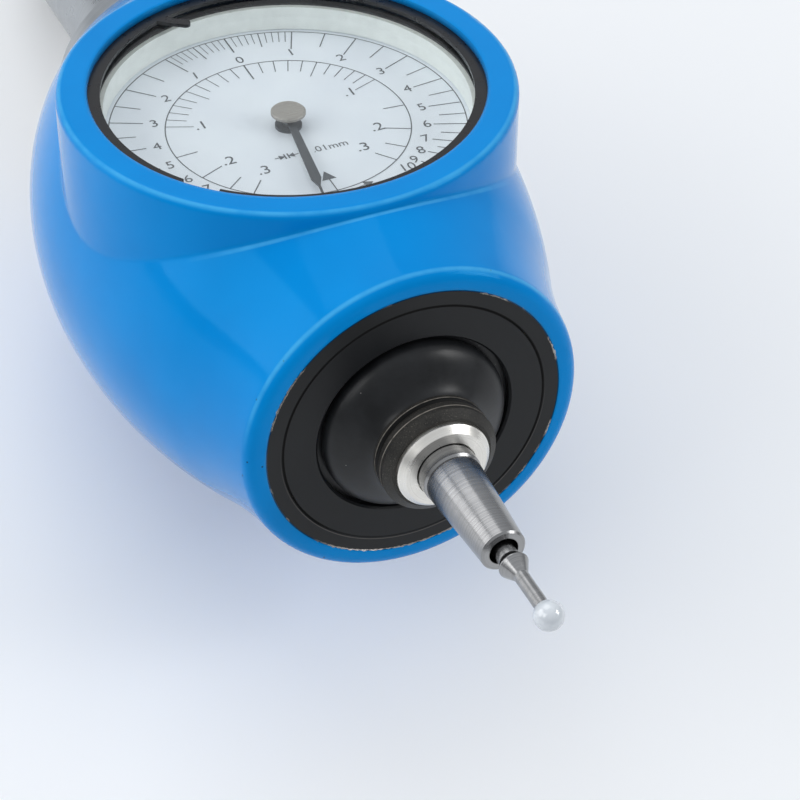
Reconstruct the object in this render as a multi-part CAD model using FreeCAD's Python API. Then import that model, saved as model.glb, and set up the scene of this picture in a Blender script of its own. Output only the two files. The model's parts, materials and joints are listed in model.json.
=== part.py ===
"""Three-axis edge finder with a dial, modelled as an assembly of separate pieces.

Millimetres. The origin is on the tool axis at the shoulder of the shank. +Y runs out
along the shank, so the stylus points towards -Y, and +Z is the dial's outward normal.
Stations are places along the tool axis, counted towards the shank from the dial's axis.
Each piece is written to parts/NODE.step.
"""
import FreeCAD
import Part
import math
import os

from FreeCAD import Vector

# Clearances, on the radius or on one face
SEAT = 0.02
RUNNING = 0.03
BACKLASH = 0.05
PAPER_GAP = 0.05
HOLE_EXTRA = 0.3
CUT_EXTRA = 1.0

# Housing, a barrel turned about the tool axis with a round boss for the dial
FACE_STATION = -44.0
REAR_STATION = 46.0
BELLY_R = 34.4
BELLY_STATION = 4.5
FRONT_SWEEP_R = 88.0
REAR_SWEEP_R = 66.0
NECK_STATION = -28.0
NECK_SWEEP_R = 66.0
FACE_ROUND = 1.6
REAR_ROUND = 1.2
BOSS_WALL = 4.4
BOSS_TOP = 27.9
BOSS_ROUND = 0.9

# Dial chamber inside the boss
OPENING_R = 27.6
LIP_ROUND = 0.25
DIAL_LEDGE = 2.6
POCKET_FLOOR = 11.4
DIAL_TOP = 20.6
DIAL_THICK = 0.4
SPACER_WALL = 2.0
SPACER_HEIGHT = 3.85
SPACER_FOOT = 0.25
GASKET_THICK = 0.3
GASKET_WIDTH = 1.3
CRYSTAL_THICK = 1.5
SNAP_COVER = 1.7
SNAP_BITE = 0.6
SNAP_THICK = 0.55
SNAP_GAP_ANGLE = 228.0
SNAP_GAP_WIDTH = 12.0
SNAP_EAR_ROOT_ANGLE = 336.0
SNAP_EAR_TIP_ANGLE = 342.5
SNAP_EAR_REACH = 3.0
SNAP_EAR_HALF = 0.65

# Front bore, guide bush and front rings
MAIN_BORE_R = 10.0
FRONT_RIM = 2.89
FRONT_RECESS_DEPTH = 4.5
BUSH_FLANGE_THICK = 2.5
FRONT_RING_WIDTH = 2.22
CLAMP_WIDTH = 4.98
CLAMP_THICK = 1.35
CLAMP_CHAMFER = 0.3
BUSH_REAR_STATION = -16.0
BUSH_SCREW_R = 1.25
BUSH_SCREW_HEAD_R = 2.2
BUSH_SCREW_LENGTH = 7.0
GUIDE_PIN_R = 1.0
GUIDE_PIN_STATION = -20.0
GUIDE_PIN_REACH = 1.0

# Rubber boot
BOOT_THICK = 0.7
BOOT_RIM_MARGIN = 0.58
BOOT_SHOULDER_GAP = 1.0
BOOT_SHOULDER_STATION = -44.6
BOOT_NECK_R = 7.9
BOOT_BULGE = 0.5
BOOT_DRAFT = 0.1

# Carriage that slides in the guide bush, and the ball socket in it
CARRIAGE_R = 8.0
CARRIAGE_BORE_R = 6.5
CARRIAGE_FLANGE_R = 9.5
CARRIAGE_FLANGE_THICK = 1.8
PROBE_TRAVEL = 4.0
JOINT_STATION = -36.0
JOINT_BALL_R = 5.0
SEAT_FRONT_REACH = 3.2
CARRIAGE_NOSE = 1.3
SOCKET_RING_GAP = 0.3
SOCKET_RING_THICK = 4.6
SOCKET_RING_HOLE_R = 4.0
CROSS_PIN_R = 0.8
CROSS_PIN_HALF = 6.1
SLOT_HALF_LENGTH = 1.5
SLOT_END_GAP = 0.2
KEYWAY_SPARE = 1.5
KEYWAY_DEPTH_SPARE = 0.5

# Probe arm, the pieces clamped on it and the tube
ARM_NECK_R = 2.6
ARM_FLANGE_R = 5.5
ARM_FLANGE_THICK = 1.4
ARM_FLANGE_BEVEL = 0.6
ARM_FLANGE_FOOT = 0.4
ARM_SPIGOT_R = 2.5
TAIL_R = 1.6
TAIL_BALL_R = 2.0
TAIL_REACH = 18.0
BOOT_LIP_STATION = -48.0
REAR_WASHER_R = 8.1
REAR_WASHER_THICK = 1.25
WASHER_GROOVE_R = 7.45
WASHER_GROOVE_DEPTH = 0.4
FRONT_WASHER_R = 8.2
FRONT_WASHER_THICK = 2.65
FRONT_WASHER_FACE_R = 7.1
FRONT_WASHER_BEVEL = 0.8
NUT_R = 6.6
NUT_FACE_R = 5.85
NUT_THICK = 1.5
NUT_HOLE_R = 4.25
NUT_THREAD_DEPTH = 0.75
NUT_SIDE = 0.55
NUT_EDGE = 0.1
TUBE_NECK_R = 4.1
TUBE_NECK_END = -56.3
TUBE_NECK_CHAMFER = 0.3
TUBE_GROOVE_R = 3.7
TUBE_GROOVE_WIDTH = 0.35
TUBE_ROOT_R = 3.95
TUBE_ROOT_CHAMFER = 0.1
TUBE_END_R = 3.12
TUBE_END_STATION = -71.4
TUBE_CHAMFER = 0.25
TUBE_BORE_R = 2.02
TUBE_BORE_DEPTH = 9.0
ARM_SPIGOT_LENGTH = 6.5

# Stylus
STYLUS_BODY_R = 1.45
STYLUS_ROOT_DEPTH = 4.5
STYLUS_CONE_R = 2.05
STYLUS_CONE_STATION = -74.2
STYLUS_CONE_RIM = 0.15
STYLUS_FLARE_LENGTH = 1.05
STYLUS_STEM_START = -76.4
STYLUS_STEM_R = 1.0
STYLUS_BALL_R = 2.0
STYLUS_BALL_STATION = -84.2
STYLUS_BALL_SOCKET = 1.1

# Plunger that carries the motion to the dial train
PLUNGER_CUP_R = 5.6
PLUNGER_CUP_BORE_R = 4.6
PLUNGER_CUP_MOUTH = 2.2
PLUNGER_CUP_BACK = 3.0
PLUNGER_ROD_R = 2.0
MID_WALL_STATION = 6.0
MID_WALL_THICK = 6.0
PLUNGER_BUSH_R = 4.0
PLUNGER_BUSH_FLANGE_R = 5.4
PLUNGER_BUSH_FLANGE_THICK = 1.1
REAR_CHAMBER_R = 10.0
WIRE_SIDES = 6
COIL_STEPS = 12
MAIN_SPRING_WIRE_R = 0.65
MAIN_SPRING_R = 8.65
MAIN_SPRING_TURNS = 4.5
RESET_SPRING_WIRE_R = 0.35
RESET_SPRING_R = 3.6
RESET_SPRING_TURNS = 6.5

# Dial train between two plates
GEAR_MODULE = 0.25
ROOT_DEPTH = 1.25 * GEAR_MODULE
ROOT_LAND = 0.02
PINION_TEETH = 16
WHEEL_TEETH = 48
PRESSURE_ANGLE = math.radians(20.0)
PLATE_MARGIN = 2.0
PLATE_THICK = 1.0
PLATE_GAP = 4.8
PILLAR_MARGIN = 3.15
PILLAR_ANGLE = math.radians(40.9)
PILLAR_R = 2.0
PLATE_SCREW_R = 1.0
PLATE_SCREW_HEAD_R = 1.8
PLATE_SCREW_HEAD = 1.1
PLATE_SCREW_BITE = 5.0
PLATE_SCREW_SLOT_HALF = 0.25
PLATE_SCREW_SLOT_DEPTH = 0.5
RACK_LEVEL = 13.1
RACK_HEIGHT = 1.5
RACK_START = 2.6
RACK_BACK = 2.2
RACK_ARM_STATION = 13.0
RACK_ARM_THICK = 3.0
RACK_ARM_HALF = 1.6
RACK_HUB_R = 3.8
RACK_SLOT_CLEARANCE = 0.6
WHEEL_LEVEL = 15.2
WHEEL_THICK = 0.8
WHEEL_HUB_R = 1.5
WHEEL_HUB_HEIGHT = 0.6
WHEEL_WINDOW_R = 1.32
WHEEL_WINDOW_PCD_R = 3.48
WHEEL_WINDOW_COUNT = 4
PINION_EXTRA = 0.3
ARBOR_R = 0.6
PIVOT_R = 0.4
CENTRE_ARBOR_R = 0.8
ARBOR_BUSH_R = 1.6
TAKE_UP_ANGLE = 230.0
HAIRSPRING_LEVEL = 13.4
HAIRSPRING_HEIGHT = 0.7
HAIRSPRING_THICK = 0.14
HAIRSPRING_IN_R = 0.9
HAIRSPRING_STEP = 0.55
HAIRSPRING_HALF_TURNS = 7
HAIRSPRING_STUD_R = 0.5

# Pointer
POINTER_REST_ANGLE = 188.1
POINTER_LEVEL = 21.95
POINTER_THICK = 0.25
POINTER_ROOT_HALF = 0.5
POINTER_BROAD_HALF = 0.72
POINTER_TAPER_LENGTH = 1.8
POINTER_NEEDLE_LENGTH = 7.6
POINTER_NEEDLE_HALF = 0.16
POINTER_SHORT = 4.4
HUB_R = 2.45
HUB_WAIST_R = 1.35
HUB_TOP = 23.3
HUB_WAIST = 0.25
HUB_RIM = 0.55
HUB_CHAMFER = 0.2
HUB_SOCKET = 0.4
DIAL_BUSH_R = 1.9
DIAL_BUSH_NECK_R = 1.3
DIAL_BUSH_RIM = 0.45

# Shank with its adjusting collar
COLLAR_STEP = 1.72
COLLAR_THICK = 6.0
COLLAR_CHAMFER = 0.6
SHANK_R = 10.0
SHANK_LENGTH = 50.0
SHANK_CHAMFER = 1.0
SPIGOT_STEP = 6.12
SPIGOT_LENGTH = 6.2
SPIGOT_PLAY = 0.4
SPIGOT_RELIEF = 0.3
SEAL_WIRE_R = 0.75
SEAL_STATION = 41.0
COLLAR_SCREW_MARGIN = 2.5
COLLAR_SCREW_R = 1.2
COLLAR_SCREW_HOLE_R = 1.6
COLLAR_SCREW_HEAD_R = 1.95
COLLAR_SCREW_HEAD = 2.4
COLLAR_SCREW_SUNK = 0.2
COLLAR_SINK_PLAY = 0.1
COLLAR_SCREW_BITE = 6.0
HEX_ACROSS_FLATS = 2.0
HEX_DEPTH = 1.2
SET_SCREW_R = 1.5
SET_SCREW_STATION = 43.6
SET_SCREW_SINK = 0.8
SCREW_COUNT = 4


def sweep_r(station):
    """The radius at a station of the two arcs that meet at the barrel's crown."""
    distance = abs(station - BELLY_STATION)
    arc_r = FRONT_SWEEP_R if station < BELLY_STATION else REAR_SWEEP_R
    return BELLY_R - arc_r + math.sqrt(arc_r ** 2 - distance ** 2)


def barrel_r(station):
    """The barrel's radius at a station: hollow at the neck, then the two arcs."""
    if station >= NECK_STATION:
        return sweep_r(station)
    sine = (BELLY_STATION - NECK_STATION) / FRONT_SWEEP_R
    centre_station = NECK_STATION - NECK_SWEEP_R * sine
    centre_r = sweep_r(NECK_STATION) + NECK_SWEEP_R * math.sqrt(1 - sine ** 2)
    return centre_r - math.sqrt(NECK_SWEEP_R ** 2 - (station - centre_station) ** 2)


# Worked out from the values above
FACE_R = barrel_r(FACE_STATION)
REAR_R = barrel_r(REAR_STATION)
BOSS_R = OPENING_R + BOSS_WALL
POCKET_R = OPENING_R - DIAL_LEDGE
SPACER_IN_R = OPENING_R - SPACER_WALL
GASKET_IN_R = OPENING_R - GASKET_WIDTH
SNAP_IN_R = OPENING_R - SNAP_COVER
SNAP_OUT_R = OPENING_R + SNAP_BITE
FRONT_RECESS_R = FACE_R - FRONT_RIM
FRONT_RING_IN_R = FRONT_RECESS_R - FRONT_RING_WIDTH
CLAMP_IN_R = FRONT_RING_IN_R - CLAMP_WIDTH
BOOT_RIM_OUT_R = FRONT_RING_IN_R - BOOT_RIM_MARGIN
BOOT_SHOULDER_R = CLAMP_IN_R - BOOT_SHOULDER_GAP
BUSH_SCREW_PCD_R = (MAIN_BORE_R + FRONT_RECESS_R) / 2
COLLAR_R = REAR_R - COLLAR_STEP
COLLAR_SCREW_PCD_R = COLLAR_R - COLLAR_SCREW_MARGIN
SPIGOT_R = REAR_R - SPIGOT_STEP
PLATE_R = POCKET_R - PLATE_MARGIN
PILLAR_RING_R = PLATE_R - PILLAR_MARGIN
PILLAR_X = PILLAR_RING_R * math.cos(PILLAR_ANGLE)
PILLAR_Y = PILLAR_RING_R * math.sin(PILLAR_ANGLE)
POINTER_TIP = OPENING_R - POINTER_SHORT
POINTER_BROAD_END = POINTER_TIP - POINTER_NEEDLE_LENGTH
POINTER_NEEDLE_START = POINTER_BROAD_END + POINTER_TAPER_LENGTH
SHOULDER_STATION = REAR_STATION + COLLAR_THICK
DIAL_BOTTOM = DIAL_TOP - DIAL_THICK
SPACER_TOP = DIAL_TOP + SPACER_HEIGHT
CRYSTAL_BOTTOM = SPACER_TOP + GASKET_THICK
CRYSTAL_TOP = CRYSTAL_BOTTOM + CRYSTAL_THICK
SNAP_BOTTOM = CRYSTAL_TOP + PAPER_GAP
SNAP_TOP = SNAP_BOTTOM + SNAP_THICK
RECESS_FLOOR = FACE_STATION + FRONT_RECESS_DEPTH
BUSH_FACE = RECESS_FLOOR - BUSH_FLANGE_THICK
CLAMP_BACK = FACE_STATION + CLAMP_THICK
BOOT_LIP_FRONT = BOOT_LIP_STATION - BOOT_THICK
REAR_WASHER_FRONT = BOOT_LIP_FRONT - REAR_WASHER_THICK
FRONT_WASHER_FRONT = REAR_WASHER_FRONT - FRONT_WASHER_THICK
NUT_FRONT = FRONT_WASHER_FRONT - NUT_THICK
WASHER_BORE_R = TUBE_NECK_R + SEAT
SOCKET_R = JOINT_BALL_R + RUNNING
SEAT_FRONT = JOINT_STATION - SEAT_FRONT_REACH
CARRIAGE_FRONT = SEAT_FRONT - CARRIAGE_NOSE
CARRIAGE_REAR = BUSH_REAR_STATION + CARRIAGE_FLANGE_THICK
TAIL_STATION = JOINT_STATION + TAIL_REACH
CUP_FLOOR = TAIL_STATION + TAIL_BALL_R + PAPER_GAP
CUP_FRONT = TAIL_STATION - PLUNGER_CUP_MOUTH
CUP_REAR = CUP_FLOOR + PLUNGER_CUP_BACK
MID_WALL_REAR = MID_WALL_STATION + MID_WALL_THICK
PLUNGER_END = RACK_ARM_STATION + RACK_ARM_THICK
PLATE_BOTTOM = POCKET_FLOOR
LOWER_PLATE_TOP = PLATE_BOTTOM + PLATE_THICK
UPPER_PLATE_BOTTOM = LOWER_PLATE_TOP + PLATE_GAP
UPPER_PLATE_TOP = UPPER_PLATE_BOTTOM + PLATE_THICK
PINION_R = GEAR_MODULE * PINION_TEETH / 2
WHEEL_R = GEAR_MODULE * WHEEL_TEETH / 2
TRAIN_CENTRES = PINION_R + WHEEL_R
DRIVE_X = -PINION_R
DRIVE_Y = math.sqrt(TRAIN_CENTRES ** 2 - DRIVE_X ** 2)
TAKE_UP_X = TRAIN_CENTRES * math.cos(math.radians(TAKE_UP_ANGLE))
TAKE_UP_Y = TRAIN_CENTRES * math.sin(math.radians(TAKE_UP_ANGLE))
SPIGOT_FRONT = REAR_STATION - SPIGOT_LENGTH
SPIGOT_RECESS_R = SPIGOT_R + SPIGOT_PLAY
SPIGOT_RECESS_FLOOR = SPIGOT_FRONT - SPIGOT_RELIEF

TOOL_AXIS = Vector(0, 1, 0)
DIAL_AXIS = Vector(0, 0, 1)
CROSS_AXIS = Vector(1, 0, 0)


def at(x, station, z):
    """The point at a station along the tool axis."""
    return Vector(x, station - SHOULDER_STATION, z)


def closed_face(edges):
    return Part.Face(Part.Wire(edges))


def polygon_face(corners):
    return Part.Face(Part.makePolygon(corners + corners[:1]))


def turned(corners):
    """A solid turned about the tool axis from (radius, station) corners."""
    face = polygon_face([at(r, station, 0) for r, station in corners])
    return face.revolve(at(0, 0, 0), TOOL_AXIS, 360)


def dished(corners):
    """A solid turned about the dial's axis from (radius, height) corners."""
    face = polygon_face([at(r, 0, z) for r, z in corners])
    return face.revolve(at(0, 0, 0), DIAL_AXIS, 360)


def ring(inner, outer, start, end):
    """A plain ring about the tool axis between two stations."""
    return turned([(inner, start), (outer, start), (outer, end), (inner, end)])


def dial_ring(inner, outer, low, high):
    """A plain ring about the dial's axis between two heights."""
    return dished([(inner, low), (outer, low), (outer, high), (inner, high)])


def rod(radius, start, end, x=0, z=0):
    """A cylinder along the tool axis between two stations."""
    return Part.makeCylinder(radius, end - start, at(x, start, z), TOOL_AXIS)


def post(radius, x, station, low, high):
    """A cylinder along the dial's axis between two heights."""
    return Part.makeCylinder(radius, high - low, at(x, station, low), DIAL_AXIS)


def block(x_low, x_high, start, end, low, high):
    return Part.makeBox(x_high - x_low, end - start, high - low, at(x_low, start, low))


def ball(radius, station):
    return Part.makeSphere(radius, at(0, station, 0))


def around_tool_axis(shape, count, first_angle=0.0):
    """Copies of a shape at even steps about the tool axis."""
    copies = []
    for index in range(count):
        copy = shape.copy()
        copy.rotate(at(0, 0, 0), TOOL_AXIS, first_angle + 360.0 * index / count)
        copies.append(copy)
    return copies


def arc_edge(start, middle, end):
    return Part.Arc(start, middle, end).toShape()


def rim_edges(solid, station):
    """The outer circular edge of a turned solid at a station."""
    plane = station - SHOULDER_STATION
    flat = [e for e in solid.Edges
            if max(abs(e.BoundBox.YMin - plane), abs(e.BoundBox.YMax - plane)) < 1e-6]
    return [max(flat, key=lambda e: e.Length)]


def barrel():
    """The turned outside: neck, front sweep and rear sweep, with rounded rims."""
    corners = (FACE_STATION, NECK_STATION, BELLY_STATION, REAR_STATION)
    outline = [at(barrel_r(station), station, 0) for station in corners]
    neck_middle = (FACE_STATION + NECK_STATION) / 2
    front_middle = (NECK_STATION + BELLY_STATION) / 2
    rear_middle = (BELLY_STATION + REAR_STATION) / 2
    axis_front = at(0, FACE_STATION, 0)
    axis_rear = at(0, REAR_STATION, 0)
    edges = [
        Part.makeLine(axis_front, outline[0]),
        arc_edge(outline[0], at(barrel_r(neck_middle), neck_middle, 0), outline[1]),
        arc_edge(outline[1], at(barrel_r(front_middle), front_middle, 0), outline[2]),
        arc_edge(outline[2], at(barrel_r(rear_middle), rear_middle, 0), outline[3]),
        Part.makeLine(outline[3], axis_rear),
        Part.makeLine(axis_rear, axis_front),
    ]
    solid = closed_face(edges).revolve(at(0, 0, 0), TOOL_AXIS, 360)
    solid = solid.makeFillet(FACE_ROUND, rim_edges(solid, FACE_STATION))
    return solid.makeFillet(REAR_ROUND, rim_edges(solid, REAR_STATION))


def dial_boss():
    """The round boss, rounded along its top edge."""
    solid = post(BOSS_R, 0, 0, 0, BOSS_TOP)
    top_rim = [e for e in solid.Edges if abs(e.BoundBox.ZMin - BOSS_TOP) < 1e-6]
    return solid.makeFillet(BOSS_ROUND, top_rim)


def dial_chamber():
    """Everything cut out of the boss from above."""
    groove_r = SNAP_OUT_R + SEAT
    return dished([
        (0, POCKET_FLOOR),
        (POCKET_R, POCKET_FLOOR),
        (POCKET_R, DIAL_BOTTOM),
        (OPENING_R, DIAL_BOTTOM),
        (OPENING_R, SNAP_BOTTOM - SEAT),
        (groove_r, SNAP_BOTTOM - SEAT),
        (groove_r, SNAP_TOP + SEAT),
        (OPENING_R, SNAP_TOP + SEAT),
        (OPENING_R, BOSS_TOP - LIP_ROUND),
        (OPENING_R + LIP_ROUND, BOSS_TOP),
        (OPENING_R + LIP_ROUND, BOSS_TOP + BELLY_R),
        (0, BOSS_TOP + BELLY_R),
    ])


def axial_bores():
    """Everything turned out of the housing from its two ends."""
    wall_hole_r = PLUNGER_BUSH_R + SEAT
    return turned([
        (0, FACE_STATION),
        (FRONT_RECESS_R, FACE_STATION),
        (FRONT_RECESS_R, RECESS_FLOOR),
        (MAIN_BORE_R, RECESS_FLOOR),
        (MAIN_BORE_R, MID_WALL_STATION),
        (wall_hole_r, MID_WALL_STATION),
        (wall_hole_r, MID_WALL_REAR),
        (REAR_CHAMBER_R, MID_WALL_REAR),
        (REAR_CHAMBER_R, SPIGOT_RECESS_FLOOR),
        (SPIGOT_RECESS_R, SPIGOT_RECESS_FLOOR),
        (SPIGOT_RECESS_R, REAR_STATION),
        (0, REAR_STATION),
    ])


def rack_window(low, high):
    """The slot that the rack's arm travels in, through a floor or a plate."""
    half = RACK_ARM_HALF + RACK_SLOT_CLEARANCE
    start = RACK_ARM_STATION - RACK_SLOT_CLEARANCE
    end = PLUNGER_END + PROBE_TRAVEL + RACK_SLOT_CLEARANCE
    return block(-half, half, start, end, low, high)


def pillar_places():
    return [(x, y) for x in (-PILLAR_X, PILLAR_X) for y in (-PILLAR_Y, PILLAR_Y)]


def bush_screw_hole(radius, depth):
    hole = rod(radius, RECESS_FLOOR - BUSH_FLANGE_THICK, RECESS_FLOOR + depth, x=BUSH_SCREW_PCD_R)
    return around_tool_axis(hole, SCREW_COUNT, 45.0)


def collar_screw_hole(radius, start, end):
    return around_tool_axis(rod(radius, start, end, x=COLLAR_SCREW_PCD_R), SCREW_COUNT, 45.0)


def set_screw_end_r():
    """Where a run-out screw's outer end lies, sunk below the barrel."""
    return barrel_r(SET_SCREW_STATION) - REAR_ROUND - SET_SCREW_SINK


def radial_rod(radius, station, inner, outer):
    """A cylinder square to the tool axis, along +X."""
    return Part.makeCylinder(radius, outer - inner, at(inner, station, 0), CROSS_AXIS)


def housing():
    plain = barrel()
    above = block(-BELLY_R, BELLY_R, FACE_STATION, REAR_STATION, BOSS_TOP, BELLY_R + CUT_EXTRA)
    body = plain.cut(above).fuse(dial_boss()).removeSplitter()
    cuts = [dial_chamber(), axial_bores(), rack_window(0, POCKET_FLOOR + CUT_EXTRA)]
    for x, y in pillar_places():
        bottom = POCKET_FLOOR - PLATE_SCREW_BITE
        cuts.append(post(PLATE_SCREW_R + SEAT, x, y, bottom, POCKET_FLOOR + CUT_EXTRA))
    cuts += bush_screw_hole(BUSH_SCREW_R + SEAT, BUSH_SCREW_LENGTH - BUSH_FLANGE_THICK + HOLE_EXTRA)
    screw_floor = REAR_STATION - COLLAR_SCREW_BITE - HOLE_EXTRA
    cuts += collar_screw_hole(COLLAR_SCREW_R + SEAT, screw_floor, REAR_STATION)
    hole = radial_rod(SET_SCREW_R + SEAT, SET_SCREW_STATION, SPIGOT_R, BELLY_R)
    cuts += around_tool_axis(hole, SCREW_COUNT)
    return body.cut(Part.Compound(cuts))


def front_ring():
    return ring(FRONT_RING_IN_R, FRONT_RECESS_R - SEAT, FACE_STATION, BUSH_FACE)


def boot_clamp():
    """The flat ring inside the front ring, which clamps the boot's rim."""
    outer = FRONT_RING_IN_R - 2 * RUNNING
    return turned([
        (CLAMP_IN_R + CLAMP_CHAMFER, FACE_STATION),
        (outer, FACE_STATION),
        (outer, BUSH_FACE),
        (BOOT_RIM_OUT_R + SEAT, BUSH_FACE),
        (BOOT_RIM_OUT_R + SEAT, CLAMP_BACK),
        (CLAMP_IN_R, CLAMP_BACK),
        (CLAMP_IN_R, FACE_STATION + CLAMP_CHAMFER),
    ])


def rubber_boot():
    """A bell-shaped boot from the clamped rim to the lip behind the washers."""
    wall = BOOT_THICK
    middle_r = (BOOT_SHOULDER_R + BOOT_NECK_R) / 2 + BOOT_BULGE
    middle_station = (BOOT_SHOULDER_STATION + BOOT_LIP_STATION) / 2
    outside = [
        at(BOOT_SHOULDER_R, CLAMP_BACK, 0),
        at(BOOT_SHOULDER_R - BOOT_DRAFT, BOOT_SHOULDER_STATION, 0),
        at(middle_r, middle_station, 0),
        at(BOOT_NECK_R, BOOT_LIP_FRONT, 0),
    ]
    inside = [
        at(BOOT_NECK_R - wall, BOOT_LIP_STATION, 0),
        at(middle_r - wall, middle_station + wall, 0),
        at(BOOT_SHOULDER_R - BOOT_DRAFT - wall, BOOT_SHOULDER_STATION + wall, 0),
        at(BOOT_SHOULDER_R - wall, BUSH_FACE, 0),
    ]
    lip_in = ARM_SPIGOT_R + SEAT
    outer_curve = Part.BSplineCurve()
    outer_curve.interpolate(outside)
    inner_curve = Part.BSplineCurve()
    inner_curve.interpolate(inside)
    rim = [at(BOOT_RIM_OUT_R, BUSH_FACE, 0), at(BOOT_RIM_OUT_R, CLAMP_BACK, 0)]
    lip = [at(lip_in, BOOT_LIP_FRONT, 0), at(lip_in, BOOT_LIP_STATION, 0)]
    edges = [
        Part.makeLine(rim[0], rim[1]),
        Part.makeLine(rim[1], outside[0]),
        outer_curve.toShape(),
        Part.makeLine(outside[-1], lip[0]),
        Part.makeLine(lip[0], lip[1]),
        Part.makeLine(lip[1], inside[0]),
        inner_curve.toShape(),
        Part.makeLine(inside[-1], rim[0]),
    ]
    return closed_face(edges).revolve(at(0, 0, 0), TOOL_AXIS, 360)


def guide_bush():
    """The flanged bush that the carriage slides in."""
    bore = CARRIAGE_R + RUNNING
    body = turned([
        (bore, BUSH_FACE),
        (FRONT_RECESS_R - SEAT, BUSH_FACE),
        (FRONT_RECESS_R - SEAT, RECESS_FLOOR),
        (MAIN_BORE_R - SEAT, RECESS_FLOOR),
        (MAIN_BORE_R - SEAT, BUSH_REAR_STATION),
        (bore, BUSH_REAR_STATION),
    ])
    cuts = bush_screw_hole(BUSH_SCREW_R + SEAT, 0)
    cuts += around_tool_axis(bush_screw_sink(), SCREW_COUNT, 45.0)
    cuts.append(radial_rod(GUIDE_PIN_R + SEAT, GUIDE_PIN_STATION, 0, MAIN_BORE_R))
    return body.cut(Part.Compound(cuts))


def bush_screw_cone(extra=0.0):
    """The countersunk head of one bush screw, on the tool axis."""
    depth = BUSH_SCREW_HEAD_R - BUSH_SCREW_R
    return turned([
        (0, BUSH_FACE),
        (BUSH_SCREW_HEAD_R + extra, BUSH_FACE),
        (BUSH_SCREW_R + extra, BUSH_FACE + depth),
        (0, BUSH_FACE + depth),
    ])


def bush_screw_sink():
    sink = bush_screw_cone(SEAT)
    sink.translate(Vector(BUSH_SCREW_PCD_R, 0, 0))
    return sink


def bush_screws():
    screw = rod(BUSH_SCREW_R, BUSH_FACE, BUSH_FACE + BUSH_SCREW_LENGTH)
    screw = screw.fuse(bush_screw_cone()).removeSplitter()
    screw = screw.cut(hex_socket(BUSH_FACE, 1))
    screw.translate(Vector(BUSH_SCREW_PCD_R, 0, 0))
    return Part.Compound(around_tool_axis(screw, SCREW_COUNT, 45.0))


def hex_socket(station, direction):
    """A hexagon socket on the tool axis, sunk from a station along direction."""
    corner_r = HEX_ACROSS_FLATS / math.sqrt(3)
    corners = []
    for index in range(6):
        angle = math.radians(60 * index)
        corners.append(at(corner_r * math.cos(angle), station, corner_r * math.sin(angle)))
    return polygon_face(corners).extrude(Vector(0, direction * HEX_DEPTH, 0))


def guide_pin():
    """The dowel that keeps the carriage from turning."""
    inner = CARRIAGE_R - GUIDE_PIN_REACH
    return radial_rod(GUIDE_PIN_R, GUIDE_PIN_STATION, inner, MAIN_BORE_R - 4 * SEAT)


def joint_slot():
    """The slots that the cross pin's ends swing in."""
    half_width = CROSS_PIN_R + RUNNING
    reach = CROSS_PIN_HALF + SLOT_END_GAP
    start = JOINT_STATION - SLOT_HALF_LENGTH
    end = JOINT_STATION + SLOT_HALF_LENGTH
    return block(-reach, reach, start, end, -half_width, half_width)


def carriage():
    """The sliding sleeve, with the front half of the ball's seat and its stop flange."""
    seat_rear = JOINT_STATION + SOCKET_RING_GAP
    nose_r = math.sqrt(SOCKET_R ** 2 - SEAT_FRONT_REACH ** 2)
    sleeve = turned([
        (0, CARRIAGE_FRONT),
        (CARRIAGE_R, CARRIAGE_FRONT),
        (CARRIAGE_R, BUSH_REAR_STATION),
        (CARRIAGE_FLANGE_R, BUSH_REAR_STATION),
        (CARRIAGE_FLANGE_R, CARRIAGE_REAR),
        (0, CARRIAGE_REAR),
    ])
    mouth = turned([
        (0, CARRIAGE_FRONT),
        (nose_r + CARRIAGE_NOSE, CARRIAGE_FRONT),
        (nose_r, SEAT_FRONT),
        (nose_r, JOINT_STATION),
        (0, JOINT_STATION),
    ])
    bore = rod(CARRIAGE_BORE_R, seat_rear, CARRIAGE_REAR)
    slot_start = GUIDE_PIN_STATION - PROBE_TRAVEL - KEYWAY_SPARE
    slot_end = GUIDE_PIN_STATION + KEYWAY_SPARE
    half = GUIDE_PIN_R + RUNNING
    keyway = block(CARRIAGE_BORE_R - KEYWAY_DEPTH_SPARE, CARRIAGE_R + CUT_EXTRA,
                   slot_start, slot_end, -half, half)
    cuts = [mouth, bore, ball(SOCKET_R, JOINT_STATION), joint_slot(), keyway]
    solid = sleeve
    for tool in cuts:
        solid = solid.cut(tool)
    return solid


def socket_ring():
    """The screwed ring that holds the ball from behind."""
    start = JOINT_STATION + SOCKET_RING_GAP
    outer = CARRIAGE_BORE_R - SEAT
    solid = ring(SOCKET_RING_HOLE_R, outer, start, start + SOCKET_RING_THICK)
    return solid.cut(ball(SOCKET_R, JOINT_STATION)).cut(joint_slot())


def cross_pin():
    return Part.makeCylinder(CROSS_PIN_R, 2 * CROSS_PIN_HALF,
                             at(-CROSS_PIN_HALF, JOINT_STATION, 0), CROSS_AXIS)


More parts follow.
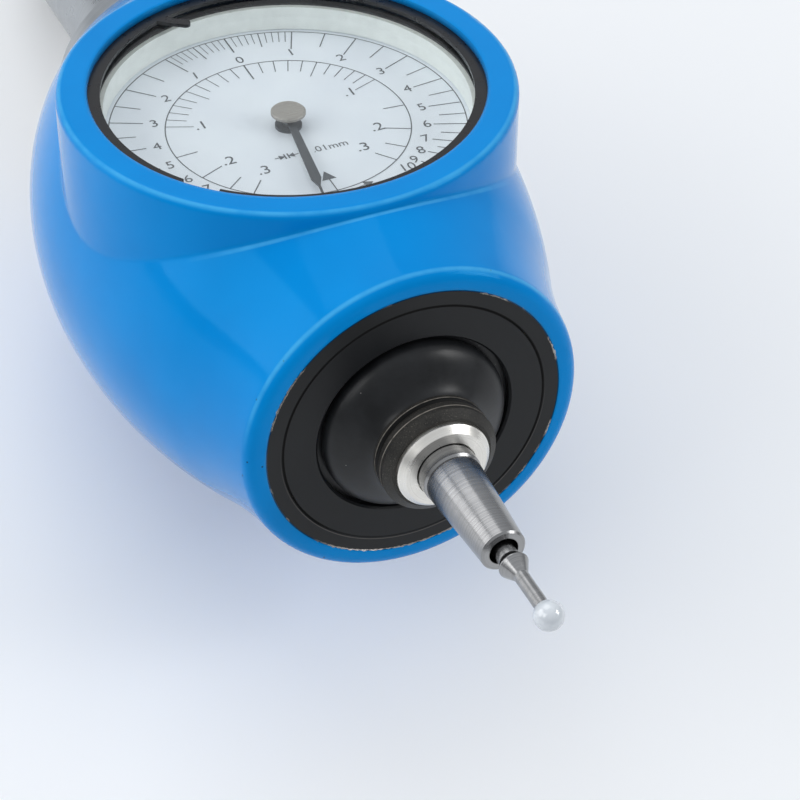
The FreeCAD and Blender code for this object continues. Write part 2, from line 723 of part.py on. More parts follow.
def probe_arm():
    """One turned piece: tail ball, tail, joint ball, neck, flange and screwed spigot."""
    flange_back = BOOT_LIP_STATION + ARM_FLANGE_THICK
    pieces = [
        ball(JOINT_BALL_R, JOINT_STATION),
        rod(TAIL_R, JOINT_STATION, TAIL_STATION),
        ball(TAIL_BALL_R, TAIL_STATION),
        rod(ARM_NECK_R, flange_back, JOINT_STATION),
        turned([
            (0, BOOT_LIP_STATION),
            (ARM_FLANGE_R, BOOT_LIP_STATION),
            (ARM_FLANGE_R, flange_back - ARM_FLANGE_BEVEL),
            (ARM_NECK_R, flange_back + ARM_FLANGE_FOOT),
            (0, flange_back + ARM_FLANGE_FOOT),
        ]),
        rod(ARM_SPIGOT_R, BOOT_LIP_STATION - ARM_SPIGOT_LENGTH, BOOT_LIP_STATION),
    ]
    solid = pieces[0].multiFuse(pieces[1:]).removeSplitter()
    hole = Part.makeCylinder(CROSS_PIN_R + RUNNING, 4 * JOINT_BALL_R,
                             at(-2 * JOINT_BALL_R, JOINT_STATION, 0), CROSS_AXIS)
    return solid.cut(hole)


def rear_washer():
    """The washer that traps the boot's lip, chamfered towards the next one."""
    return turned([
        (WASHER_BORE_R, BOOT_LIP_FRONT),
        (REAR_WASHER_R, BOOT_LIP_FRONT),
        (REAR_WASHER_R, REAR_WASHER_FRONT + WASHER_GROOVE_DEPTH),
        (WASHER_GROOVE_R, REAR_WASHER_FRONT),
        (WASHER_BORE_R, REAR_WASHER_FRONT),
    ])


def front_washer():
    return turned([
        (WASHER_BORE_R, REAR_WASHER_FRONT),
        (WASHER_GROOVE_R, REAR_WASHER_FRONT),
        (FRONT_WASHER_R, REAR_WASHER_FRONT - WASHER_GROOVE_DEPTH),
        (FRONT_WASHER_R, FRONT_WASHER_FRONT + FRONT_WASHER_BEVEL),
        (FRONT_WASHER_FACE_R, FRONT_WASHER_FRONT),
        (WASHER_BORE_R, FRONT_WASHER_FRONT),
    ])


def clamp_nut():
    """The plated ring nut with a bevelled front."""
    thread_end = FRONT_WASHER_FRONT - NUT_THREAD_DEPTH
    return turned([
        (WASHER_BORE_R, FRONT_WASHER_FRONT),
        (NUT_R, FRONT_WASHER_FRONT),
        (NUT_R, FRONT_WASHER_FRONT - NUT_SIDE),
        (NUT_FACE_R, NUT_FRONT + NUT_EDGE),
        (NUT_FACE_R - NUT_EDGE, NUT_FRONT),
        (NUT_HOLE_R, NUT_FRONT),
        (NUT_HOLE_R, thread_end),
        (WASHER_BORE_R, thread_end),
    ])


def probe_tube():
    """The tapered tube: neck through the nut, groove, cone, and a bore for the stylus."""
    groove_end = TUBE_NECK_END - TUBE_GROOVE_WIDTH
    spigot_floor = BOOT_LIP_STATION - ARM_SPIGOT_LENGTH - HOLE_EXTRA
    outside = turned([
        (0, BOOT_LIP_FRONT),
        (TUBE_NECK_R, BOOT_LIP_FRONT),
        (TUBE_NECK_R, TUBE_NECK_END + TUBE_NECK_CHAMFER),
        (TUBE_NECK_R - TUBE_NECK_CHAMFER, TUBE_NECK_END),
        (TUBE_GROOVE_R, TUBE_NECK_END),
        (TUBE_GROOVE_R, groove_end),
        (TUBE_ROOT_R, groove_end - TUBE_ROOT_CHAMFER),
        (TUBE_END_R, TUBE_END_STATION + TUBE_CHAMFER),
        (TUBE_END_R - TUBE_CHAMFER, TUBE_END_STATION),
        (0, TUBE_END_STATION),
    ])
    bore_floor = TUBE_END_STATION + TUBE_BORE_DEPTH
    cuts = [
        rod(ARM_SPIGOT_R + SEAT, spigot_floor, BOOT_LIP_FRONT),
        rod(TUBE_BORE_R, TUBE_END_STATION, bore_floor),
        rod(STYLUS_BODY_R + SEAT, bore_floor, bore_floor + STYLUS_ROOT_DEPTH + HOLE_EXTRA),
    ]
    return outside.cut(Part.Compound(cuts))


def stylus():
    """The steel insert: screwed body, double cone and stem."""
    root = TUBE_END_STATION + TUBE_BORE_DEPTH + STYLUS_ROOT_DEPTH
    stem_end = STYLUS_BALL_STATION + STYLUS_BALL_R - STYLUS_BALL_SOCKET
    return turned([
        (0, root),
        (STYLUS_BODY_R, root),
        (STYLUS_BODY_R, STYLUS_CONE_STATION + STYLUS_FLARE_LENGTH),
        (STYLUS_CONE_R, STYLUS_CONE_STATION),
        (STYLUS_CONE_R, STYLUS_CONE_STATION - STYLUS_CONE_RIM),
        (STYLUS_STEM_R, STYLUS_STEM_START),
        (STYLUS_STEM_R, stem_end),
        (0, stem_end),
    ])


def stylus_ball():
    socket_floor = STYLUS_BALL_STATION + STYLUS_BALL_R - STYLUS_BALL_SOCKET - SEAT
    socket = rod(STYLUS_STEM_R + SEAT, socket_floor, STYLUS_BALL_STATION + STYLUS_BALL_R)
    return ball(STYLUS_BALL_R, STYLUS_BALL_STATION).cut(socket)


def plunger():
    """The cup behind the arm's tail, and the rod that carries the rack."""
    return turned([
        (0, CUP_FLOOR),
        (PLUNGER_CUP_BORE_R, CUP_FLOOR),
        (PLUNGER_CUP_BORE_R, CUP_FRONT),
        (PLUNGER_CUP_R, CUP_FRONT),
        (PLUNGER_CUP_R, CUP_REAR),
        (PLUNGER_ROD_R, CUP_REAR),
        (PLUNGER_ROD_R, PLUNGER_END),
        (0, PLUNGER_END),
    ])


def plunger_bush():
    bore = PLUNGER_ROD_R + RUNNING
    flange_front = MID_WALL_STATION - PLUNGER_BUSH_FLANGE_THICK
    return turned([
        (bore, flange_front),
        (PLUNGER_BUSH_FLANGE_R, flange_front),
        (PLUNGER_BUSH_FLANGE_R, MID_WALL_STATION),
        (PLUNGER_BUSH_R, MID_WALL_STATION),
        (PLUNGER_BUSH_R, MID_WALL_REAR),
        (bore, MID_WALL_REAR),
    ])


def coil_ring(mean_r, wire_r, angle, station):
    """Corners round the wire of a coil, in the plane at an angle about the tool axis."""
    corners = []
    for side in range(WIRE_SIDES):
        turn = 2 * math.pi * (side + 0.5) / WIRE_SIDES
        radius = mean_r + wire_r * math.cos(turn)
        height = station + wire_r * math.sin(turn)
        corners.append(at(radius * math.cos(angle), height, radius * math.sin(angle)))
    return corners


def coil_spring(mean_r, wire_r, turns, start, end):
    """A coil spring about the tool axis that just fits between two stations."""
    steps = round(turns * COIL_STEPS)
    first = start + wire_r
    rise = (end - start - 2 * wire_r) / steps
    rings = []
    for step in range(steps + 1):
        angle = 2 * math.pi * step / COIL_STEPS
        rings.append(coil_ring(mean_r, wire_r, angle, first + step * rise))
    faces = [polygon_face(rings[0]), polygon_face(rings[-1])]
    for near, far in zip(rings, rings[1:]):
        for side in range(WIRE_SIDES):
            after = (side + 1) % WIRE_SIDES
            faces.append(polygon_face([near[side], near[after], far[after]]))
            faces.append(polygon_face([near[side], far[after], far[side]]))
    shell = Part.Shell(faces)
    shell.sewShape()
    return Part.Solid(shell)


def main_spring():
    return coil_spring(MAIN_SPRING_R, MAIN_SPRING_WIRE_R, MAIN_SPRING_TURNS,
                       CARRIAGE_REAR + SEAT, MID_WALL_STATION - SEAT)


def reset_spring():
    flange_front = MID_WALL_STATION - PLUNGER_BUSH_FLANGE_THICK
    return coil_spring(RESET_SPRING_R, RESET_SPRING_WIRE_R, RESET_SPRING_TURNS,
                       CUP_REAR + SEAT, flange_front - SEAT)


def involute(angle):
    return math.tan(angle) - angle


def flank_points(teeth):
    """(radius, half angle) down one flank of a tooth, from root to tip."""
    pitch_r = GEAR_MODULE * teeth / 2
    base_r = pitch_r * math.cos(PRESSURE_ANGLE)
    root_r = pitch_r - ROOT_DEPTH
    tip_r = pitch_r + GEAR_MODULE
    half_at_pitch = (math.pi * GEAR_MODULE / 2 - BACKLASH) / (2 * pitch_r)
    points = []
    for radius in (root_r, max(base_r, root_r + ROOT_LAND), pitch_r, tip_r):
        working = math.acos(min(1.0, base_r / radius))
        half = half_at_pitch + involute(PRESSURE_ANGLE) - involute(working)
        points.append((radius, half))
    return points


def gear(teeth, x, station, low, high, phase):
    """A spur gear with one tooth centred on the phase angle, in degrees from +X."""
    flank = flank_points(teeth)
    corners = []
    for index in range(teeth):
        centre = math.radians(phase + 360.0 * index / teeth)
        rising = [(radius, centre - half) for radius, half in flank]
        falling = [(radius, centre + half) for radius, half in reversed(flank)]
        for radius, angle in rising + falling:
            across = x + radius * math.cos(angle)
            along = station + radius * math.sin(angle)
            corners.append(at(across, along, low))
    return polygon_face(corners).extrude(Vector(0, 0, high - low))


def mated_phase(driver_teeth, driver_phase, direction, driven_teeth):
    """The phase that puts a gap of the driven gear on the driver's nearest tooth."""
    driver_pitch = 360.0 / driver_teeth
    offset = (driver_phase - direction + driver_pitch / 2) % driver_pitch - driver_pitch / 2
    return direction + 180.0 - offset * driver_teeth / driven_teeth + 180.0 / driven_teeth


def centre_direction(x, y):
    """Direction from a wheel's arbor to the pointer's arbor, in degrees."""
    return math.degrees(math.atan2(-y, -x))


def pointer_pinion_phase():
    direction = centre_direction(DRIVE_X, DRIVE_Y)
    return mated_phase(WHEEL_TEETH, direction, direction, PINION_TEETH)


def drilled(shape, radius, x, station, low, high):
    return shape.cut(post(radius, x, station, low, high))


def drive_arbor():
    """Arbor and rack pinion in one piece."""
    low = LOWER_PLATE_TOP
    high = UPPER_PLATE_BOTTOM
    shaft = pivoted_arbor(DRIVE_X, DRIVE_Y, low + PAPER_GAP, high - PAPER_GAP)
    pinion = gear(PINION_TEETH, DRIVE_X, DRIVE_Y, RACK_LEVEL, RACK_LEVEL + RACK_HEIGHT, 0.0)
    return shaft.fuse(pinion)


def pivoted_arbor(x, y, low, high):
    """A plain arbor with a thin pivot at each end, in the plates' bushes."""
    lower = post(PIVOT_R, x, y, PLATE_BOTTOM + PAPER_GAP, low)
    upper = post(PIVOT_R, x, y, high, UPPER_PLATE_TOP)
    return post(ARBOR_R, x, y, low, high).fuse(lower).fuse(upper)


def train_wheel(x, y, phase):
    """A thin wheel with a hub and round windows, pressed on its arbor."""
    high = WHEEL_LEVEL + WHEEL_THICK
    hub_top = high + WHEEL_HUB_HEIGHT
    solid = gear(WHEEL_TEETH, x, y, WHEEL_LEVEL, high, phase)
    for index in range(WHEEL_WINDOW_COUNT):
        angle = 2 * math.pi * (index + 0.5) / WHEEL_WINDOW_COUNT
        window_x = x + WHEEL_WINDOW_PCD_R * math.cos(angle)
        window_y = y + WHEEL_WINDOW_PCD_R * math.sin(angle)
        solid = drilled(solid, WHEEL_WINDOW_R, window_x, window_y, WHEEL_LEVEL, high)
    solid = solid.fuse(post(WHEEL_HUB_R, x, y, high, hub_top))
    return drilled(solid, ARBOR_R + SEAT, x, y, WHEEL_LEVEL, hub_top)


def drive_wheel():
    return train_wheel(DRIVE_X, DRIVE_Y, centre_direction(DRIVE_X, DRIVE_Y))


def take_up_wheel():
    direction = centre_direction(TAKE_UP_X, TAKE_UP_Y)
    phase = mated_phase(PINION_TEETH, pointer_pinion_phase(), direction + 180.0, WHEEL_TEETH)
    return train_wheel(TAKE_UP_X, TAKE_UP_Y, phase)


def take_up_arbor():
    low = LOWER_PLATE_TOP + PAPER_GAP
    return pivoted_arbor(TAKE_UP_X, TAKE_UP_Y, low, UPPER_PLATE_BOTTOM - PAPER_GAP)


def half_turn(radius, centre_x, side):
    """Half a flat ring of the hairspring, on one side of its middle line."""
    low = HAIRSPRING_LEVEL
    top = low + HAIRSPRING_HEIGHT
    half_thick = HAIRSPRING_THICK / 2
    full = post(radius + half_thick, centre_x, TAKE_UP_Y, low, top)
    full = drilled(full, radius - half_thick, centre_x, TAKE_UP_Y, low, top)
    reach = 2 * radius
    start = TAKE_UP_Y if side > 0 else TAKE_UP_Y - reach
    return full.common(block(centre_x - reach, centre_x + reach, start, start + reach, low, top))


def hairspring():
    """A flat spiral of half turns whose centres change sides."""
    parts = []
    for index in range(HAIRSPRING_HALF_TURNS):
        side = 1 if index % 2 == 0 else -1
        centre_x = TAKE_UP_X + side * HAIRSPRING_STEP / 4
        parts.append(half_turn(HAIRSPRING_IN_R + index * HAIRSPRING_STEP / 2, centre_x, side))
    return parts[0].multiFuse(parts[1:])


def hairspring_end_x():
    """Where the spiral's outer end meets its stud."""
    last = HAIRSPRING_HALF_TURNS - 1
    side = 1 if last % 2 == 0 else -1
    outer_r = HAIRSPRING_IN_R + last * HAIRSPRING_STEP / 2
    return TAKE_UP_X + side * HAIRSPRING_STEP / 4 + side * outer_r


def hairspring_stud():
    x = hairspring_end_x()
    station = TAKE_UP_Y - HAIRSPRING_STUD_R - SEAT
    top = HAIRSPRING_LEVEL + HAIRSPRING_HEIGHT
    return post(HAIRSPRING_STUD_R, x, station, LOWER_PLATE_TOP, top)


def rack():
    """The rack on its arm, with a hub that is pinned on the plunger's rod."""
    pitch = math.pi * GEAR_MODULE
    half_at_pitch = (pitch / 2 - BACKLASH) / 2
    slope = math.tan(PRESSURE_ANGLE)
    tip_half = half_at_pitch - GEAR_MODULE * slope
    root_half = half_at_pitch + ROOT_DEPTH * slope
    pitch_x = DRIVE_X + PINION_R
    tip_x = pitch_x - GEAR_MODULE
    root_x = pitch_x + ROOT_DEPTH
    first = DRIVE_Y + pitch / 2
    while first - pitch - root_half > RACK_START:
        first -= pitch
    corners = [at(RACK_BACK, RACK_START, RACK_LEVEL), at(root_x, RACK_START, RACK_LEVEL)]
    centre = first
    while centre < RACK_ARM_STATION - pitch:
        corners += [
            at(root_x, centre - root_half, RACK_LEVEL),
            at(tip_x, centre - tip_half, RACK_LEVEL),
            at(tip_x, centre + tip_half, RACK_LEVEL),
            at(root_x, centre + root_half, RACK_LEVEL),
        ]
        centre += pitch
    corners += [at(root_x, PLUNGER_END, RACK_LEVEL), at(RACK_BACK, PLUNGER_END, RACK_LEVEL)]
    teeth = polygon_face(corners).extrude(Vector(0, 0, RACK_HEIGHT))
    top = RACK_LEVEL + RACK_HEIGHT
    arm = block(-RACK_ARM_HALF, RACK_ARM_HALF, RACK_ARM_STATION, PLUNGER_END, 0, RACK_LEVEL)
    bridge = block(-RACK_ARM_HALF, RACK_BACK, RACK_ARM_STATION, PLUNGER_END, RACK_LEVEL, top)
    hub = rod(RACK_HUB_R, RACK_ARM_STATION, PLUNGER_END)
    solid = hub.multiFuse([arm, bridge, teeth]).removeSplitter()
    return solid.cut(rod(PLUNGER_ROD_R + SEAT, RACK_ARM_STATION, PLUNGER_END))


def train_places():
    return [(0.0, 0.0), (DRIVE_X, DRIVE_Y), (TAKE_UP_X, TAKE_UP_Y)]


def plate(low):
    """A movement plate with holes for its pillars' screws and arbor bushes."""
    high = low + PLATE_THICK
    solid = post(PLATE_R, 0, 0, low, high)
    cuts = [post(PLATE_SCREW_R + SEAT, x, y, low, high) for x, y in pillar_places()]
    cuts += [post(ARBOR_BUSH_R + SEAT, x, y, low, high) for x, y in train_places()]
    return solid.cut(Part.Compound(cuts))


def lower_plate():
    return plate(PLATE_BOTTOM).cut(rack_window(PLATE_BOTTOM, LOWER_PLATE_TOP))


def upper_plate():
    return plate(UPPER_PLATE_BOTTOM)


def plate_pillars():
    pillars = []
    for x, y in pillar_places():
        pillar = post(PILLAR_R, x, y, LOWER_PLATE_TOP, UPPER_PLATE_BOTTOM)
        hole_r = PLATE_SCREW_R + SEAT
        pillars.append(drilled(pillar, hole_r, x, y, LOWER_PLATE_TOP, UPPER_PLATE_BOTTOM))
    return Part.Compound(pillars)


def plate_screws():
    screws = []
    for x, y in pillar_places():
        top = UPPER_PLATE_TOP + PLATE_SCREW_HEAD
        tip = POCKET_FLOOR - PLATE_SCREW_BITE + HOLE_EXTRA
        shaft = post(PLATE_SCREW_R, x, y, tip, UPPER_PLATE_TOP)
        head = post(PLATE_SCREW_HEAD_R, x, y, UPPER_PLATE_TOP, top)
        slot = block(x - PLATE_SCREW_HEAD_R, x + PLATE_SCREW_HEAD_R, y - PLATE_SCREW_SLOT_HALF,
                     y + PLATE_SCREW_SLOT_HALF, top - PLATE_SCREW_SLOT_DEPTH, top)
        screws.append(shaft.fuse(head).removeSplitter().cut(slot))
    return Part.Compound(screws)


def arbor_bushes():
    bushes = []
    for index, (x, y) in enumerate(train_places()):
        for low in (PLATE_BOTTOM, UPPER_PLATE_BOTTOM):
            central_upper = index == 0 and low == UPPER_PLATE_BOTTOM
            shaft_r = CENTRE_ARBOR_R if central_upper else PIVOT_R
            bush = post(ARBOR_BUSH_R, x, y, low, low + PLATE_THICK)
            bushes.append(drilled(bush, shaft_r + RUNNING, x, y, low, low + PLATE_THICK))
    return Part.Compound(bushes)


def centre_arbor():
    """The pointer's arbor with its pinion."""
    lower = post(PIVOT_R, 0, 0, PLATE_BOTTOM + PAPER_GAP, LOWER_PLATE_TOP + PAPER_GAP)
    shaft = post(CENTRE_ARBOR_R, 0, 0, LOWER_PLATE_TOP + PAPER_GAP, HUB_TOP - HUB_SOCKET)
    pinion = gear(PINION_TEETH, 0, 0, WHEEL_LEVEL - PINION_EXTRA,
                  WHEEL_LEVEL + WHEEL_THICK + PINION_EXTRA, pointer_pinion_phase())
    return shaft.fuse(lower).fuse(pinion)


def dial_face():
    hole = DIAL_BUSH_NECK_R + SEAT
    return dial_ring(hole, OPENING_R - SEAT, DIAL_BOTTOM, DIAL_TOP)


def dial_bush():
    """The dark flanged bush where the arbor comes through the dial."""
    return dished([
        (CENTRE_ARBOR_R + RUNNING, UPPER_PLATE_TOP),
        (DIAL_BUSH_NECK_R, UPPER_PLATE_TOP),
        (DIAL_BUSH_NECK_R, DIAL_TOP),
        (DIAL_BUSH_R, DIAL_TOP),
        (DIAL_BUSH_R, DIAL_TOP + DIAL_BUSH_RIM),
        (CENTRE_ARBOR_R + RUNNING, DIAL_TOP + DIAL_BUSH_RIM),
    ])


def pointer():
    """The hand: a broad blade, a quick taper and a fine needle, drawn along +Y and turned."""
    half_outline = [
        (POINTER_ROOT_HALF, 0.0),
        (POINTER_BROAD_HALF, POINTER_BROAD_END),
        (POINTER_NEEDLE_HALF, POINTER_NEEDLE_START),
        (POINTER_NEEDLE_HALF / 2, POINTER_TIP),
    ]
    right = [at(x, y, POINTER_LEVEL) for x, y in half_outline]
    left = [at(-x, y, POINTER_LEVEL) for x, y in reversed(half_outline)]
    blade = polygon_face(right + left).extrude(Vector(0, 0, POINTER_THICK))
    collet = post(HUB_WAIST_R, 0, 0, POINTER_LEVEL, POINTER_LEVEL + POINTER_THICK)
    hand = blade.fuse(collet).removeSplitter()
    hand = drilled(hand, CENTRE_ARBOR_R + SEAT, 0, 0, POINTER_LEVEL, POINTER_LEVEL + POINTER_THICK)
    hand.rotate(at(0, 0, 0), DIAL_AXIS, -POINTER_REST_ANGLE)
    return hand


def pointer_hub():
    """The cap on the arbor, with a narrow waist down to the hand."""
    foot = POINTER_LEVEL + POINTER_THICK
    solid = dished([
        (0, foot),
        (HUB_WAIST_R, foot),
        (HUB_WAIST_R, foot + HUB_WAIST),
        (HUB_R, HUB_TOP - HUB_RIM),
        (HUB_R, HUB_TOP - HUB_CHAMFER),
        (HUB_R - HUB_CHAMFER, HUB_TOP),
        (0, HUB_TOP),
    ])
    return drilled(solid, CENTRE_ARBOR_R + SEAT, 0, 0, foot, HUB_TOP - HUB_SOCKET + SEAT)


def spacer_ring():
    """The white ring between dial and crystal, bevelled at its foot."""
    outer = OPENING_R - SEAT
    return dished([
        (SPACER_IN_R + SPACER_FOOT, DIAL_TOP),
        (outer, DIAL_TOP),
        (outer, SPACER_TOP),
        (SPACER_IN_R, SPACER_TOP),
        (SPACER_IN_R, DIAL_TOP + SPACER_FOOT),
    ])


def crystal_gasket():
    return dial_ring(GASKET_IN_R, OPENING_R - SEAT, SPACER_TOP, CRYSTAL_BOTTOM)


def crystal():
    return post(OPENING_R - SEAT, 0, 0, CRYSTAL_BOTTOM, CRYSTAL_TOP)


def compass(angle, radius):
    """Plan position at a clockwise angle from +Y."""
    turn = math.radians(angle)
    return radius * math.sin(turn), radius * math.cos(turn)


def snap_ear():
    """The snap ring's ear, a bar that slants inward to a rounded tip."""
    root_x, root_y = compass(SNAP_EAR_ROOT_ANGLE, (SNAP_IN_R + SNAP_OUT_R) / 2)
    tip_x, tip_y = compass(SNAP_EAR_TIP_ANGLE, SNAP_IN_R - SNAP_EAR_REACH)
    root = at(root_x, root_y, SNAP_BOTTOM)
    tip = at(tip_x, tip_y, SNAP_BOTTOM)
    side = DIAL_AXIS.cross(tip - root).normalize() * SNAP_EAR_HALF
    bar = polygon_face([root - side, tip - side, tip + side, root + side])
    bar = bar.extrude(Vector(0, 0, SNAP_THICK))
    return bar.fuse(post(SNAP_EAR_HALF, tip_x, tip_y, SNAP_BOTTOM, SNAP_TOP))


def snap_ring():
    """An open spring ring in the boss's groove, with one inward ear."""
    solid = dial_ring(SNAP_IN_R, SNAP_OUT_R, SNAP_BOTTOM, SNAP_TOP)
    corners = [at(0, 0, SNAP_BOTTOM)]
    for side in (-0.5, 0.5):
        x, y = compass(SNAP_GAP_ANGLE + side * SNAP_GAP_WIDTH, 1.2 * SNAP_OUT_R)
        corners.append(at(x, y, SNAP_BOTTOM))
    solid = solid.cut(polygon_face(corners).extrude(Vector(0, 0, SNAP_THICK)))
    return solid.fuse(snap_ear()).removeSplitter()


def collar_head_floor():
    """The station that the collar screws' heads bear on."""
    return SHOULDER_STATION - COLLAR_SCREW_HEAD - COLLAR_SCREW_SUNK


def shank():
    """Spigot, adjusting collar and plain round shank in one piece."""
    end = SHOULDER_STATION + SHANK_LENGTH
    groove_floor = SPIGOT_RECESS_R - 2 * SEAL_WIRE_R
    groove_half = SEAL_WIRE_R + SEAT
    solid = turned([
        (0, SPIGOT_FRONT),
        (SPIGOT_R, SPIGOT_FRONT),
        (SPIGOT_R, SEAL_STATION - groove_half),
        (groove_floor - SEAT, SEAL_STATION - groove_half),
        (groove_floor - SEAT, SEAL_STATION + groove_half),
        (SPIGOT_R, SEAL_STATION + groove_half),
        (SPIGOT_R, REAR_STATION),
        (COLLAR_R, REAR_STATION),
        (COLLAR_R, SHOULDER_STATION - COLLAR_CHAMFER),
        (COLLAR_R - COLLAR_CHAMFER, SHOULDER_STATION),
        (SHANK_R, SHOULDER_STATION),
        (SHANK_R, end - SHANK_CHAMFER),
        (SHANK_R - SHANK_CHAMFER, end),
        (0, end),
    ])
    head_floor = collar_head_floor()
    cuts = collar_screw_hole(COLLAR_SCREW_HOLE_R, REAR_STATION, SHOULDER_STATION)
    cuts += collar_screw_hole(COLLAR_SCREW_HEAD_R + COLLAR_SINK_PLAY, head_floor, SHOULDER_STATION)
    return solid.cut(Part.Compound(cuts))


def collar_seal():
    """The round seal between the spigot and its recess."""
    mean_r = SPIGOT_RECESS_R - SEAL_WIRE_R - SEAT
    return Part.makeTorus(mean_r, SEAL_WIRE_R - SEAT, at(0, SEAL_STATION, 0), TOOL_AXIS)


def collar_screws():
    """Socket-head screws that hold the shank's collar to the housing."""
    head_floor = collar_head_floor()
    shaft = rod(COLLAR_SCREW_R, REAR_STATION - COLLAR_SCREW_BITE, head_floor)
    head = rod(COLLAR_SCREW_HEAD_R, head_floor, head_floor + COLLAR_SCREW_HEAD)
    screw = shaft.fuse(head).removeSplitter().cut(hex_socket(head_floor + COLLAR_SCREW_HEAD, -1))
    screw.translate(Vector(COLLAR_SCREW_PCD_R, 0, 0))
    return Part.Compound(around_tool_axis(screw, SCREW_COUNT, 45.0))


def run_out_screws():
    """Radial set screws that bear on the spigot and centre the stylus."""
    end_r = set_screw_end_r()
    length = end_r - SPIGOT_R
    body = rod(SET_SCREW_R, 0, length).cut(hex_socket(length, -1))
    body.translate(Vector(0, SHOULDER_STATION, 0))
    body.rotate(Vector(0, 0, 0), DIAL_AXIS, -90)
    body.translate(at(SPIGOT_R, SET_SCREW_STATION, 0))
    return Part.Compound(around_tool_axis(body, SCREW_COUNT))


PIECES = [
    housing, front_ring, boot_clamp, rubber_boot, guide_bush, bush_screws, guide_pin,
    carriage, socket_ring, cross_pin, probe_arm, rear_washer, front_washer, clamp_nut,
    probe_tube, stylus, stylus_ball, plunger, plunger_bush, main_spring, reset_spring,
    rack, drive_arbor, drive_wheel, centre_arbor, take_up_arbor, take_up_wheel, hairspring,
    hairspring_stud, lower_plate, upper_plate, plate_pillars, plate_screws, arbor_bushes,
    dial_face, dial_bush, pointer, pointer_hub, spacer_ring, crystal_gasket, crystal,
    snap_ring, shank, collar_seal, collar_screws, run_out_screws,
]


def main():
    os.makedirs("parts", exist_ok=True)
    for piece in PIECES:
        shape = piece()
        shape.exportStep(f"parts/{piece.__name__}.step")
        print(piece.__name__, len(shape.Solids), round(shape.Volume, 2), shape.isValid())


main()
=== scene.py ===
"""Looks of the three-axis edge finder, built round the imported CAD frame. Metres."""
import bpy
import json
import math
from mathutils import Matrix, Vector


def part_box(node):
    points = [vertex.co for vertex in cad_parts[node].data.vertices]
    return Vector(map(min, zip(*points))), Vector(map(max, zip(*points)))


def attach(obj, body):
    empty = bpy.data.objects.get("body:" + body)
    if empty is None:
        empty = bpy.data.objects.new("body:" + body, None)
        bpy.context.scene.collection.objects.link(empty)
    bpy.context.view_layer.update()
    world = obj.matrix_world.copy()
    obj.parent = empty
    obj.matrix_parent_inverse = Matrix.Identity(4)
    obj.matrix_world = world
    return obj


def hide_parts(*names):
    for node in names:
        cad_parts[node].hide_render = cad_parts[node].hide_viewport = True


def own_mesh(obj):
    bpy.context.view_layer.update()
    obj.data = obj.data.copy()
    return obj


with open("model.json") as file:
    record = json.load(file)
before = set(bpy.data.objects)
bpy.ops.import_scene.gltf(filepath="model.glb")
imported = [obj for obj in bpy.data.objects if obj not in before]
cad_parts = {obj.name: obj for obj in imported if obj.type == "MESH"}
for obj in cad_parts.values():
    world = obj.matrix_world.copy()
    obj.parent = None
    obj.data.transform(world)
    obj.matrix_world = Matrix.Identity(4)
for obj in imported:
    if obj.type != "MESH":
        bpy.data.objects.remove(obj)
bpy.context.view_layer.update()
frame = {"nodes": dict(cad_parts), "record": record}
nodes = frame["nodes"]

SUBPARTS = frame["record"]["subparts"]
JOINTS = frame["record"]["behaviour"]["joints"]


# Sizes in millimetres, in the row frame: the tool's axis is y, the dial looks along z

MM = 0.001
Y, Z = 1, 2


def reach(node, axis):
    """A node's lowest and highest coordinate along an axis."""
    return [corner[axis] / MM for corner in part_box(node)]


FACE_Y = reach("housing", Y)[0]
BOSS_TOP = reach("housing", Z)[1]
DIAL_TOP = reach("dial_face", Z)[1]
DIAL_Y = sum(reach("dial_face", Y)) / 2

BOSS_R = 32.0
OPENING_R = 27.6
GROOVE_R = 28.3
RIM_CREST_R = 23.0
PAINT_EDGE_R = 21.2
RING_EDGE_R = 21.08
RING_JOINT_R = 18.93
WASHER_R = 8.1
WASHER_JOINT_Y = -101.25
WASHER_EDGE_Y = -103.1


# Shader building

